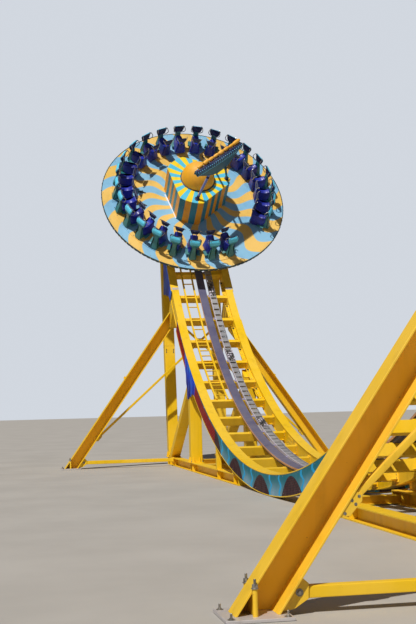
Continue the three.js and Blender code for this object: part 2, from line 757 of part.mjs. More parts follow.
for (const [end, endSide] of [['far', 1], ['near', -1]]) {
  add(`base_frame_${end}`, baseFrame(endSide), PAINT.yellow);
  for (const [name, side] of [['left', 1], ['right', -1]]) {
    add(`column_${end}_${name}`, tallColumn(endSide, side), PAINT.yellow);
    add(`post_${end}_${name}`, shortPost(endSide, side), PAINT.yellow);
    add(`raking_leg_${end}_${name}`, rakingLeg(endSide, side), PAINT.yellow);
  }
}
add('trolley_chassis', chassis(), PAINT.steel);
add('wheelset_upper', wheelset(1), PAINT.black);
add('wheelset_lower', wheelset(-1), PAINT.black);
add('drive_unit', driveUnit(), PAINT.black);
add('disc_underframe', turntable(), PAINT.yellow);
add('disc_deck', deck(), PAINT.sky);
add('disc_rim', rim(), PAINT.teal);
add('hub_drum', hubDrum(), PAINT.cyan);
add('hub_dome', dome(), PAINT.gold);
add('ornament', ornament(), PAINT.teal);
for (let bank = 0; bank < BANK_COUNT; bank += 1) {
  add(`seat_bank_${bank + 1}`, seatBank(bank), PAINT.royal);
}

export default part;
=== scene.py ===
"""Looks for a half-pipe spinning-disc ride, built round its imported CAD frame.

Metres, +Z up, +X along the track. Girders, boards and supports ride on "frame",
the wheeled carriage on "trolley", everything that spins on "disc".
"""

import math
from itertools import product

import bmesh
import bpy
import numpy as np
from mathutils import Matrix, Vector


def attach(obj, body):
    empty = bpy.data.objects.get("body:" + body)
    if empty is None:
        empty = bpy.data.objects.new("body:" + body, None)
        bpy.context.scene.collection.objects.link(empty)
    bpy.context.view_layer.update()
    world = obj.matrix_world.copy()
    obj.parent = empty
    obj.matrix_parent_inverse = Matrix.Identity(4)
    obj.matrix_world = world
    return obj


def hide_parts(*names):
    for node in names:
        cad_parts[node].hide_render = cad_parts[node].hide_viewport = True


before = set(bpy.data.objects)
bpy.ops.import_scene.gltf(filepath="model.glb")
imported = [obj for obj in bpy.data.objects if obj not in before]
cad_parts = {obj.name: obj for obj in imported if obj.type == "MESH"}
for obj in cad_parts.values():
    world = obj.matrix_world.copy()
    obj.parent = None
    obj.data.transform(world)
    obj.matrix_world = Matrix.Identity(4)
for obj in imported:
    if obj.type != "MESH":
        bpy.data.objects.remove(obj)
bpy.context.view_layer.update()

R, ARC_Z = 16.6, 17.074  # the track's arc and the height of its centre line
PITCH_DEG, END = 3.98, 70.2  # from rung to rung, and half the track's sweep
REST_DEG, DECK = 58.44, 0.992  # the disc's place at rest, and its deck above the track
X, Y, Z = np.eye(3)
BOTH = (1, -1)


def rad(degrees):
    return degrees * math.pi / 180


def vec(*values):
    return np.array(values, float)


def unit(v):
    return v / np.linalg.norm(v)


def polar(radius, degrees):
    return radius * math.cos(rad(degrees)), radius * math.sin(rad(degrees))


def mid(half):
    return -half, half


def link(name, data, matrix=None):
    """A new object in the scene's collection."""
    obj = bpy.data.objects.new(name, data)
    if matrix is not None:
        obj.matrix_world = matrix
    bpy.context.collection.objects.link(obj)
    return obj


def photo_camera(yaw=0.191, pitch=0.087, roll=-0.025, eye=(-22.36, 6.482, 1.876)):
    forward = Vector((math.cos(yaw) * math.cos(pitch), -math.sin(yaw) * math.cos(pitch), math.sin(pitch)))
    level = Vector((-math.sin(yaw), -math.cos(yaw), 0))
    above = level.cross(forward)
    right = level * math.cos(roll) + above * math.sin(roll)
    up = above * math.cos(roll) - level * math.sin(roll)
    lens = bpy.data.cameras.new("camera")
    lens.sensor_fit, lens.sensor_height, lens.lens, lens.clip_end = "VERTICAL", 36, 62.65, 500
    basis = Matrix((right, up, -forward)).transposed().to_4x4()
    bpy.context.scene.camera = link("camera", lens, Matrix.Translation(eye) @ basis)


class Axes:
    """A local frame: origin and three unit vectors."""

    def __init__(self, origin, u, v, w):
        self.origin, self.basis = np.array(origin, float), np.array([u, v, w], float)

    def at(self, points):
        return np.asarray(points, float).reshape(-1, 3) @ self.basis + self.origin

    def spot(self, a=0.0, b=0.0, c=0.0):
        return self.at((a, b, c))[0]

    def ring(self, outline, height):
        return self.at([(a, b, height) for a, b in outline])

    def moved(self, a=0.0, b=0.0, c=0.0):
        return Axes(self.spot(a, b, c), *self.basis)

    def turned(self, degrees):
        """The same frame turned about its own w axis."""
        (c, s), (u, v, w) = polar(1, degrees), self.basis
        return Axes(self.origin, c * u + s * v, c * v - s * u, w)

    def view(self, order, a=0.0, b=0.0, c=0.0, signs=(1, 1, 1)):
        """A frame at (a, b, c) with these axes in another order, each with its sign."""
        return Axes(self.spot(a, b, c), *(self.basis["uvw".index(k)] * s for k, s in zip(order, signs)))


def on_arc(degrees, drop=0.0, y=0.0):
    c, s = polar(R + drop, degrees)
    return vec(s, y, ARC_Z - c)


def tangent(degrees, drop=0.0, y=0.0):
    """Frame on the track: u uphill, v along +Y, w towards the arc's centre."""
    c, s = polar(1, degrees)
    return Axes(on_arc(degrees, drop, y), (c, 0, s), Y, (-s, 0, c))


GROUND = Axes((0, 0, 0), X, Y, Z)
TROLLEY = tangent(REST_DEG)
DISC = TROLLEY.moved(c=DECK)


def rounded(width, depth, radius, steps=2):
    """Outline of a rectangular tube, centred, with rounded corners."""
    points = []
    for k, (sx, sy) in enumerate(((1, 1), (-1, 1), (-1, -1), (1, -1))):
        for j in range(steps + 1):
            x, y = polar(radius, 90 * k + 90 * j / steps)
            points.append((sx * (width / 2 - radius) + x, sy * (depth / 2 - radius) + y))
    return points


def i_beam(width, depth, flange=0.018, web=0.012):
    a, b, t, w = width / 2, depth / 2, flange, web / 2
    half = [(a, -b), (a, t - b), (w, t - b), (w, b - t), (a, b - t), (a, b)]
    return half + [(-x, -y) for x, y in half]


def channel(width, depth, flange, web):
    """A channel with its web on the +a side."""
    a, b, t = width / 2, depth / 2, flange
    return [(-a, -b), (a, -b), (a, b), (-a, b), (-a, b - t), (a - web, b - t), (a - web, t - b), (-a, t - b)]


def rect(a0, a1, b0, b1):
    return [(a0, b0), (a1, b0), (a1, b1), (a0, b1)]


def mirrored(half):
    return half + [(-a, b) for a, b in reversed(half)]


def regular(radius, count, start=0.0, centre=(0, 0)):
    corners = (polar(radius, start + 360 * k / count) for k in range(count))
    return [(centre[0] + a, centre[1] + b) for a, b in corners]


def eased(outline, size):
    """Cuts every corner of an outline back by size."""
    points, count = [], len(outline)
    for k in range(count):
        here, before, after = (np.array(outline[i % count], float) for i in (k, k - 1, k + 1))
        for side in (before - here, after - here):
            length = np.linalg.norm(side)
            points.append(tuple(here + side / length * min(size, 0.4 * length)))
    return points


def inset(outline, size):
    """Moves every side of a closed outline inwards by size."""
    pts = np.array(outline, float)
    area = sum(p[0] * q[1] - q[0] * p[1] for p, q in zip(pts, np.roll(pts, -1, 0)))
    result = []
    for k in range(len(pts)):
        a, b = unit(pts[k] - pts[k - 1]), unit(pts[(k + 1) % len(pts)] - pts[k])
        na, nb = vec(-a[1], a[0]), vec(-b[1], b[0])
        scale = size / max(0.35, 1 + float(na @ nb)) * (1 if area > 0 else -1)
        result.append(tuple(pts[k] + (na + nb) * scale))
    return result


def refine(outline, steps):
    """Rounds an outline by repeated corner cutting."""
    points = [np.array(p, float) for p in outline]
    for _ in range(steps):
        pairs = zip(points, points[1:] + points[:1])
        points = [q for a, b in pairs for q in (0.75 * a + 0.25 * b, 0.25 * a + 0.75 * b)]
    return [tuple(p) for p in points]


def smooth_line(points, steps=3):
    """Rounds an open line by corner cutting, keeping its ends."""
    line = [np.array(p, float) for p in points]
    for _ in range(steps):
        cut = [line[0]]
        for a, b in zip(line, line[1:]):
            cut += [0.75 * a + 0.25 * b, 0.25 * a + 0.75 * b]
        line = cut + [line[-1]]
    return line[:: max(1, len(line) // 14)] + [line[-1]]


CORNERS = list(product((0, 1), repeat=3))


def box_faces():
    """Faces of a box with eased edges: every corner is three points, one for each axis."""
    faces = []
    for axis in range(3):
        i, j = [k for k in range(3) if k != axis]

        def index(s, p, q):
            bits = [0, 0, 0]
            bits[axis], bits[i], bits[j] = s, p, q
            return CORNERS.index(tuple(bits)) * 3

        for s in (0, 1):
            faces.append([index(s, p, q) + axis for p, q in ((0, 0), (1, 0), (1, 1), (0, 1))])
        for p, q in product((0, 1), repeat=2):
            a, b = index(0, p, q), index(1, p, q)
            faces.append([a + i, a + j, b + j, b + i])
    return faces + [[3 * k, 3 * k + 1, 3 * k + 2] for k in range(8)]


BOX_FACES = box_faces()


def new_mesh(name, points, faces):
    mesh = bpy.data.meshes.new(name)
    mesh.from_pydata(points, [], faces)
    return mesh


def face_outwards(mesh):
    work = bmesh.new()
    work.from_mesh(mesh)
    bmesh.ops.recalc_face_normals(work, faces=work.faces[:])
    work.to_mesh(mesh)
    work.free()
    mesh.polygons.foreach_set("use_smooth", [True] * len(mesh.polygons))


class Piece:
    """Collects closed shells; every shell has a finish by name."""

    def __init__(self, finish="yellow"):
        self.main, self.shells = finish, {}

    def add(self, points, faces, finish=None):
        store = self.shells.setdefault(finish or self.main, [[], [], 0])
        points = np.asarray(points, float).reshape(-1, 3)
        store[0].append(points)
        store[1].extend([tuple(store[2] + i for i in face) for face in faces])
        store[2] += len(points)

    def box(self, axes, a, b, c, ease=0.004, finish=None):
        spans = [sorted(s) for s in (a, b, c)]
        e = min([ease] + [0.4 * (hi - lo) for lo, hi in spans])
        points = [
            [spans[k][bits[k]] + (0 if k == axis else e * (1 - 2 * bits[k])) for k in range(3)]
            for bits in CORNERS for axis in range(3)
        ]
        self.add(axes.at(points), BOX_FACES, finish)

    def loft(self, rings, finish=None, closed=False):
        """Skins a list of like rings of points."""
        n, rows = len(rings[0]), len(rings)
        faces = []
        for k in range(rows if closed else rows - 1):
            a, b = k * n, (k + 1) % rows * n
            faces += [(a + i, a + (i + 1) % n, b + (i + 1) % n, b + i) for i in range(n)]
        if not closed:
            faces += [tuple(range(n))[::-1], tuple(range((rows - 1) * n, rows * n))]
        self.add(np.concatenate([np.asarray(r, float) for r in rings]), faces, finish)

    def prism(self, axes, outline, span, ease=0.004, finish=None):
        lo, hi = sorted(span)
        e = min(ease, 0.4 * (hi - lo))
        rows = [(outline, lo), (outline, hi)]
        if e:
            inner = inset(outline, e)
            rows = [(inner, lo), (outline, lo + e), (outline, hi - e), (inner, hi)]
        self.loft([axes.ring(*row) for row in rows], finish)

    def disc(self, axes, radius, span, count, ease, finish=None):
        self.prism(axes, regular(radius, count), span, ease, finish)

    def lathe(self, axes, profile, count=48, finish=None, sweep=None):
        """Turns a closed (radius, height) outline about the frame's w axis."""
        start, stop = sweep or (0, 360)
        rings = []
        for k in range(count + bool(sweep)):
            a = start + (stop - start) * k / count
            rings.append(axes.at([(*polar(r, a), h) for r, h in profile]))
        self.loft(rings, finish, closed=not sweep)

    def solid_lathe(self, axes, profile, count, finish=None):
        """Turns a (radius, height) line whose two ends are closed with flat faces."""
        self.loft([axes.ring(regular(r, count), h) for r, h in profile], finish)

    def tube(self, points, radius, sides=8, finish=None, closed=False):
        points = [np.asarray(p, float) for p in points]
        n, normal, rings = len(points), None, []
        for k in range(n):
            ahead = points[(k + 1) % n] if closed or k < n - 1 else points[k]
            back = points[k - 1] if closed or k > 0 else points[k]
            along = unit(ahead - back)
            if normal is None:
                normal = unit(np.cross(along, Z if abs(along[2]) < 0.9 else X))
            normal = unit(normal - along * (normal @ along))
            axes = Axes(points[k], normal, np.cross(along, normal), along)
            rings.append(axes.ring(regular(radius, sides), 0))
        self.loft(rings, finish, closed=closed)

    def arc_sweep(self, profile, start, end, step=0.5, finish=None):
        """Sweeps a (y, drop) outline along the track; drop may depend on the angle."""
        count = max(1, math.ceil((end - start) / step - 1e-6))
        rings = []
        for k in range(count + 1):
            a = start + (end - start) * k / count
            rings.append([on_arc(a, drop(a) if callable(drop) else drop, y) for y, drop in profile])
        self.loft(rings, finish)

    def member(self, p, q, outline, side, cut=(None, None), finish=None):
        """A rolled section from p to q; a lies along side. Each end may be cut by a plane."""
        p, q = np.asarray(p, float), np.asarray(q, float)
        along = unit(q - p)
        side = unit(side - along * (np.asarray(side, float) @ along))
        axes = Axes(p, side, np.cross(along, side), along)
        rings = []
        for length, plane in ((0.0, cut[0]), (float(np.linalg.norm(q - p)), cut[1])):
            ring = axes.ring(outline, length)
            if plane is not None:
                point, normal = (np.asarray(v, float) for v in plane)
                ring = ring + (((point - ring) @ normal) / (along @ normal))[:, None] * along
            rings.append(ring)
        self.loft(rings, finish)

    def bolts(self, axes, places, radius=0.014, finish="bolt", lift=0.0):
        """Hexagon heads on washers, standing on the frame's (a, b) plane."""
        for centre in places:
            for sides, rows in (12, ((1.7, 0.0), (1.7, 0.22))), (6, ((1.0, 0.2), (1.0, 0.75), (0.8, 0.9))):
                self.loft([axes.ring(regular(r * radius, sides, centre=centre), lift + h * radius)
                           for r, h in rows], finish)

    def make(self, name, body):
        """Makes one object for each finish; the main one stands for the CAD node of that name."""
        for finish in [self.main] + sorted(k for k in self.shells if k != self.main):
            points, faces, _ = self.shells[finish]
            slot, material = FINISHES[finish]
            mesh = new_mesh(name, np.concatenate(points).tolist(), faces)
            face_outwards(mesh)
            mesh.set_sharp_from_angle(angle=rad(36))
            mesh.materials.append(material)
            obj = link(name if finish == self.main else f"{name}_{finish}", mesh)
            obj.modifiers.new("normals", "WEIGHTED_NORMAL").keep_sharp = True
            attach(obj, body)
            if finish == self.main:
                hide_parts(name)


def shade(colour):
    """Linear colour of an sRGB triple; a value from the node tree stays as it is."""
    if isinstance(colour, Num):
        return colour
    linear = (c / 12.92 if c <= 0.04045 else ((c + 0.055) / 1.055) ** 2.4 for c in (k / 255 for k in colour))
    return (*linear, 1.0)


def put(made, values):
    """Links or sets a node's inputs."""
    for key, value in dict(values).items():
        if isinstance(value, Num):
            made.id_data.links.new(value.socket, made.inputs[key])
        else:
            made.inputs[key].default_value = value


def node(tree, kind, inputs=(), **settings):
    made = tree.nodes.new("ShaderNode" + kind)
    for key, value in settings.items():
        setattr(made, key, value)
    put(made, inputs)
    return made


class Num:
    """A value in a material's node tree; arithmetic on it adds nodes."""

    def __init__(self, socket):
        self.socket = socket

    def op(self, kind, *others, clamp=False):
        values = enumerate((self, *others))
        return Num(node(self.socket.id_data, "Math", values, operation=kind, use_clamp=clamp).outputs[0])

    def __add__(self, other):
        return self.op("ADD", other)

    def __mul__(self, other):
        return self.op("MULTIPLY", other)

    def __sub__(self, other):
        return self.op("SUBTRACT", other)

    def __abs__(self):
        return self.op("ABSOLUTE")

    def span(self, lo, hi, out_lo=0.0, out_hi=1.0, smooth=True):
        """Maps lo to hi onto out_lo to out_hi."""
        return Num(node(self.socket.id_data, "MapRange", {0: self, 1: lo, 2: hi, 3: out_lo, 4: out_hi},
                        interpolation_type="SMOOTHSTEP" if smooth else "LINEAR").outputs[0])


class Paint:
    """A small helper to wire one procedural material."""

    def __init__(self, name):
        self.mat = bpy.data.materials.new(name)
        self.mat.use_nodes = True
        self.tree = self.mat.node_tree
        self.tree.nodes.clear()
        self.bsdf = node(self.tree, "BsdfPrincipled")
        self.tree.links.new(self.bsdf.outputs[0], node(self.tree, "OutputMaterial").inputs[0])
        self.pos = self.value("TexCoord", out="Object")

    def value(self, kind, inputs=(), out=0, **settings):
        return Num(node(self.tree, kind, inputs, **settings).outputs[out])

    def mix(self, share, a, b):
        return self.value("Mix", {0: share, 6: shade(a), 7: shade(b)}, 2, data_type="RGBA")

    def noise(self, scale, detail=3.0, stretch=None):
        vector = self.value("Mapping", {"Vector": self.pos, "Scale": stretch}) if stretch else self.pos
        return self.value("TexNoise", {"Vector": vector, "Scale": scale, "Detail": detail, "Roughness": 0.55})

    def along(self, direction):
        inputs = {0: self.pos, 1: tuple(direction)}
        return self.value("VectorMath", inputs, "Value", operation="DOT_PRODUCT")

    def axis(self, k):
        return self.value("SeparateXYZ", {0: self.pos}, k)

    def finish(self, colour, rough, bump=None, metallic=0.0, strength=0.3, distance=0.002, coat=0.0):
        values = {"Base Color": colour, "Roughness": rough, "Metallic": metallic, "Coat Weight": coat}
        put(self.bsdf, {**values, "Coat Roughness": 0.2})
        if bump is not None:
            relief = {"Strength": strength, "Distance": distance, "Height": bump}
            put(self.bsdf, {"Normal": self.value("Bump", relief)})
        return self.mat

    def worn(self, colour, rough=0.42, fade=0.12, grime=0.3, chips=0.5, dust=0.12, dirt=(96, 66, 34),
             primer=(120, 74, 46), metallic=0.0, coat=0.0, streaks=(5, 5, 0.45)):
        """Paint with uneven fading, run-down dirt, small chips and dust on what faces up."""
        faded, dulled = self.mix(fade, colour, (255, 250, 235)), self.mix(fade, colour, (60, 40, 20))
        tone = self.mix(self.noise(0.7, 4).span(0.35, 0.68), dulled, faded)
        stain = self.noise(1.0, 5, streaks).span(0.5, 0.78) * grime
        tone = self.mix(stain * self.noise(23, 4).span(0.2, 0.7, 0.5, 1.0), tone, dirt)
        spots = self.noise(31, 2).span(0.69, 0.72) * self.noise(1.9, 2).span(0.52, 0.6) * chips
        tone = self.mix(spots, tone, primer)
        facing = self.value("SeparateXYZ", {0: self.value("NewGeometry", out="Normal")}, 2)
        lying = facing.span(0.55, 0.98) * self.noise(3.1, 4).span(0.3, 0.7, 0.4, 1.0)
        tone = self.mix(lying * dust, tone, (214, 190, 150))
        gloss = self.noise(6, 4).span(0.3, 0.7, rough - 0.08, rough + 0.12, smooth=False)
        gloss = gloss.op("ADD", spots * 0.25, clamp=True)
        return self.finish(tone, gloss, self.noise(140, 2) - spots * 1.5, metallic, 0.12, 0.002, coat)


RAYS = 16.0


def disc_polar(paint, shift=0.0):
    """Angle in turns (from U towards V) and radius about an axis normal to the disc."""
    origin, (u, v, _) = TROLLEY.origin, TROLLEY.basis
    a = paint.along(u) - (float(origin @ u) + shift)
    b = paint.along(v) - float(origin @ v)
    return b.op("ARCTAN2", a).op("DIVIDE", 2 * math.pi), (a * a + b * b).op("SQRT")


def rays(phase, half, soft):
    """1 inside each ray, 0 between them; the phase grows by 1 from ray to ray."""
    return (abs((phase + 64.5).op("FRACT") - 0.5) - half).span(-soft, soft, 1.0, 0.0)


def deck_paint():
    """Wavy rays."""
    paint = Paint("deck_paint")
    turn, radius = disc_polar(paint)
    swing = (radius * (2 * math.pi / 1.28) + 0.9).op("SINE") * 0.2
    ray = rays(turn * RAYS + swing, radius.span(0.9, 3.0, 0.21, 0.275, smooth=False), 0.02)
    return paint.worn(paint.mix(ray, (134, 192, 228), (240, 198, 100)), 0.42, 0.07, 0.22, 0.4, 0.05,
                      dirt=(110, 96, 80), streaks=(3, 3, 0.8))


def hub_paint():
    """Plain rays, one pair of colours on the drum's lid and a darker pair on its wall, which is painted
    shade.
    """
    paint = Paint("hub_paint")
    ray = rays(disc_polar(paint, HUB[0])[0] * RAYS, 0.25, 0.012)
    lid = paint.mix(ray, (84, 200, 236), (250, 218, 24))
    # painted shade: the wall's stripes are darker copies of the lid's colours
    wall = paint.mix(ray, (28, 134, 158), (250, 170, 22))
    height = paint.along(DISC.basis[2]) - float(DISC.origin @ DISC.basis[2])
    colour = paint.mix(height.span(1.0, 1.004), wall, lid)
    return paint.worn(colour, 0.45, 0.04, 0.25, 0.3, 0.03, dirt=(90, 76, 60))


def board_polar(paint):
    """Angle along the track in degrees and depth below the running surface."""
    x, z = paint.axis(0), paint.axis(2) * -1.0 + ARC_Z
    return x.op("ARCTAN2", z) * (180 / math.pi), (x * x + z * z).op("SQRT") - R


def fascia_art():
    """Teal boards shading to pale, dark dotted arches between bright ribbons, red woven end panels."""
    paint = Paint("fascia_art")
    angle, drop = board_polar(paint)
    level = drop.span(0.02, 0.45, smooth=False)
    cell = (angle.op("DIVIDE", 8.4) + 40.32).op("FRACT") - 0.5
    pale = level.span(0.15, 0.95) * paint.noise(1.1, 4).span(0.3, 0.65, 0.5, 1.0)
    pale = pale * abs(cell).span(0.2, 0.4, 0.35, 1.0)
    tone = paint.mix(pale, (18, 122, 138), (150, 188, 210))
    # bright ribbons that wander down the boards
    sway = (level * 9.0).op("SINE") * 0.03
    off = abs(abs(cell - sway) - 0.34) + (paint.noise(14, 3) - 0.5) * 0.05
    tone = paint.mix(off.span(0.022, 0.032, 1.0, 0.0), tone, (24, 176, 232))
    # dark arches standing on the lower edge, with rows of dots
    scallop = (level - cell * cell * 9.5 - 0.14).span(-0.01, 0.01)
    dots = (angle * (2 * math.pi / 0.36)).op("SINE") * (drop * (2 * math.pi / 0.09)).op("SINE")
    tone = paint.mix(scallop, tone, paint.mix(dots.span(0.35, 0.55), (34, 8, 22), (104, 30, 50)))
    # red woven panels towards the ends
    away, warp, weft = abs(angle), angle * 14.0, drop * 40.0
    weave = (warp + weft).op("SINE") * (warp - weft).op("SINE")
    red = paint.mix(weave.span(-0.1, 0.25), (96, 4, 12), (198, 18, 20))
    tone = paint.mix(level.span(0.12, 0.17) * away.span(18.6, 18.8), tone, red)
    # blue flame tips
    flame = away.span(28.6, 29.6) * away.span(35.0, 36.0, 1.0, 0.0)
    tone = paint.mix(flame, tone, flame_tone(paint, drop))
    paint.bsdf.inputs["Specular IOR Level"].default_value = 0.18
    return paint.worn(tone, 0.5, 0.02, 0.15, 0.4, 0.01, dirt=(50, 40, 40))


def flame_tone(paint, drop):
    level = drop + (paint.noise(2.3, 3, (1.6, 1, 0.5)) - 0.5) * 0.5
    brushed = paint.noise(1.0, 4, (9, 9, 1.6))
    blue = paint.mix(level.span(0.25, 0.75), (20, 84, 240), (14, 18, 150))
    blue = paint.mix(brushed.span(0.50, 0.66, 0.0, 0.8), blue, (60, 150, 250))
    blue = paint.mix(brushed.span(0.34, 0.44, 0.7, 0.0), blue, (10, 12, 84))
    return paint.mix(level.span(0.02, 0.17, 1.0, 0.0), blue, (40, 184, 240))


def flame_boards():
    paint = Paint("flame_boards")
    tone = flame_tone(paint, board_polar(paint)[1])
    return paint.worn(tone, 0.4, 0.05, 0.2, 0.4, 0.02, dirt=(50, 50, 70))


def rubber():
    paint = Paint("black_rubber")
    grain = paint.noise(60, 4)
    tone = paint.mix(grain.span(0.3, 0.7), (26, 26, 28), (52, 50, 48))
    tone = paint.mix(paint.noise(3, 4).span(0.45, 0.75, 0.0, 0.35), tone, (120, 104, 84))
    return paint.finish(tone, grain.span(0.3, 0.7, 0.6, 0.85), grain, 0.0, 0.35)


def metal(name, dark, light, rough=0.36, metallic=0.85):
    paint = Paint(name)
    brushed = paint.noise(1.0, 4, (40, 40, 6))
    tone = paint.mix(brushed.span(0.3, 0.7), dark, light)
    tone = paint.mix(paint.noise(2.6, 5).span(0.52, 0.74, 0.0, 0.45), tone, (128, 104, 78))
    gloss = paint.noise(12, 4).span(0.3, 0.7, rough - 0.08, rough + 0.16)
    return paint.finish(tone, gloss, brushed, metallic, 0.1, 0.001)


def seat_shell():
    """Glossy moulded shell, deep blue with paler scuffs."""
    paint = Paint("seat_shell")
    tone = paint.mix(paint.noise(2.2, 4).span(0.35, 0.7), (26, 34, 128), (44, 62, 190))
    tone = paint.mix(paint.noise(1.0, 4, (26, 26, 9)).span(0.6, 0.72, 0.0, 0.35), tone, (120, 134, 200))
    gloss = paint.noise(14, 4).span(0.3, 0.7, 0.34, 0.52)
    return paint.finish(tone, gloss, paint.noise(80, 2), 0.0, 0.06, coat=0.12)


def vinyl(name, dark, light, painted_highlight_top=False):
    """Grained vinyl over foam; the one with a painted highlight on top runs from dark below to light above.
    """
    paint = Paint(name)
    cells = paint.value("TexVoronoi", {"Vector": paint.pos, "Scale": 260.0}, "Distance")
    share = paint.noise(5, 4).span(0.35, 0.7)
    if painted_highlight_top:
        # painted highlight: lighter towards the panel's top, as if lit from above
        share = (paint.axis(1) + (share - 0.5) * 0.03).span(-0.05, 0.04)
    tone = paint.mix(share, dark, light)
    tone = paint.mix(cells.span(0.0, 0.5, 0.25, 0.0), tone, (30, 50, 60))
    tone = paint.mix(paint.noise(17, 3).span(0.58, 0.75, 0.0, 0.3), tone, (210, 214, 206))
    gloss = paint.noise(9, 4).span(0.3, 0.7, 0.4, 0.6)
    return paint.finish(tone, gloss, cells, 0.0, 0.3, 0.0012)


def worn(slot, name, colour, *wear, **options):
    return slot, Paint(name).worn(colour, *wear, **options)


HUB, HUB_HIGH = (-0.08, 0.0), 1.03
# slot, name, colour, then rough, fade, grime, chips and dust
FINISHES = {
    "yellow": worn("yellow_paint", "yellow_paint", (246, 204, 10), 0.46, 0.05, 0.2, 0.35, 0.03),
    "dusty": worn("yellow_paint", "dusty_yellow", (248, 204, 44), 0.5, 0.06, 0.22, 0.35, 0.16),
    "slate": worn("slate_paint", "slate_paint", (84, 86, 124), 0.55, 0.06, 0.35, 0.25, dirt=(70, 62, 66)),
    "lilac": worn("slate_paint", "lilac_bracket", (166, 160, 206), 0.5, 0.08),
    "copper": worn("slate_paint", "edge_strip", (214, 160, 116), 0.45, 0.12),
    "silver": worn("silver_metal", "silver_metal", (176, 178, 186), 0.42, 0.1, 0.35, 0.3,
                   metallic=0.35, dirt=(98, 84, 74)),
    "bare": worn("silver_metal", "bare_plate", (206, 202, 204), 0.38, 0.1, 0.3,
                 metallic=0.2, dirt=(130, 110, 90)),
    "pale": worn("silver_metal", "pale_rail", (204, 200, 216), 0.4, 0.08, 0.25, dirt=(120, 104, 96)),
    "white": worn("silver_metal", "deck_strip", (236, 242, 255), 0.5, 0.05, 0.2),
    "bolt": ("silver_metal", metal("bolt_metal", (120, 118, 116), (196, 192, 184))),
    "loop": ("silver_metal", metal("loop_bar", (150, 150, 152), (214, 212, 208), 0.3, 0.7)),
    "steel": worn("dark_steel", "dark_steel", (78, 80, 84), 0.45, 0.1, 0.5, 0.6,
                  metallic=0.4, dirt=(60, 46, 34), primer=(140, 92, 60)),
    "art": ("fascia_art", fascia_art()),
    "redlamp": worn("fascia_art", "red_cap", (206, 42, 34), 0.3, 0.08),
    "flame": ("flame_boards", flame_boards()),
    "deck": ("deck_paint", deck_paint()),
    "lavender": worn("deck_paint", "lavender_leg", (126, 146, 214), 0.42, 0.08),
    "hub": ("hub_paint", hub_paint()),
    "teal": worn("teal_paint", "teal_paint", (12, 98, 120), 0.42, 0.08, 0.25, dirt=(40, 40, 40)),
    "navy": worn("teal_paint", "navy_strip", (10, 26, 82), 0.45, 0.03, 0.1, 0.2, 0.0),
    "trim": worn("teal_paint", "rim_trim", (16, 62, 72), 0.5, 0.06, 0.3),
    "cyan": worn("teal_paint", "cyan_ticks", (126, 216, 246), 0.4, 0.03, 0.08, dust=0.0),
    "pedestal": worn("teal_paint", "pedestal_shell", (28, 128, 134), 0.36, 0.1, 0.25,
                     dirt=(40, 50, 50), coat=0.2),
    "gold": worn("gold_paint", "gold_paint", (250, 184, 44), 0.52, 0.09, 0.3, 0.3, dirt=(150, 92, 40)),
    "lamp": worn("gold_paint", "lamp_glass", (250, 214, 90), 0.25, 0.05, coat=0.6),
    "seat": ("seat_shell", seat_shell()),
    # the chest panel's pale top is a painted highlight
    "panel": ("seat_shell", vinyl("chest_panel", (22, 122, 136), (104, 216, 250), True)),
    "rubber": ("black_rubber", rubber()),
    "pad": ("black_rubber", vinyl("pad_vinyl", (38, 46, 84), (58, 68, 116))),
}

# Track

SPLICES = S1, S2 = 4 * PITCH_DEG, 12 * PITCH_DEG
RUNGS = [(k + 0.5) * PITCH_DEG for k in range(-18, 18)]
DEEP = 0.0997  # lower side of what lies on the rungs, below the running surface
GIRDER_Y = 0.885


def rung(piece, angle):
    """Cross tube with an end plate, gussets and bolts at each girder."""
    axes = tangent(angle, 0.1)
    piece.prism(axes.view("uwv", b=-0.76, c=-0.11), rounded(0.14, 0.22, 0.014), (0, 1.52), 0)
    for side in BOTH:
        piece.box(axes, mid(0.1), (side * 0.756, side * 0.786), (-0.25, 0.02), 0.003)
        for face in BOTH:
            flat = axes.view("uvw", face * 0.068, side * 0.757, -0.19, (face, -side, 1))
            piece.prism(flat, [(0.0, 0.0), (0.0585, 0.0), (0.0, 0.13)], mid(0.006), 0)
        plane = axes.view("uwv", b=side * 0.756, signs=(1, 1, -side))
        piece.bolts(plane, product(mid(0.085), (-0.03, -0.1, -0.17)), 0.009)


def splice(piece, angle):
    """Bolted cover plates and a worn bare strip where two track sections meet."""
    axes = tangent(angle)
    for side in BOTH:
        if abs(angle) > 40:
            worn_strip = tangent(angle - math.copysign(1.0, angle))
            piece.box(worn_strip, mid(0.055), (side * 0.776, side * 0.994), (-0.001, 0.0012), 0, "bare")
        inner = axes.view("uwv", 0, side * 0.785, -0.2, (1, 1, -side))
        below = axes.view("uvw", 0, side * GIRDER_Y, -0.4, (1, 1, -1))
        for plane, half, rows in (inner, 0.14, (-0.1, 0, 0.1)), (below, 0.1, mid(0.07)):
            piece.box(plane, mid(0.24), mid(half), (0, 0.012), 0.003)
            columns = (-0.19, -0.12, -0.05, 0.05, 0.12, 0.19)
            piece.bolts(plane, product(columns, rows), 0.013, piece.main, 0.012)


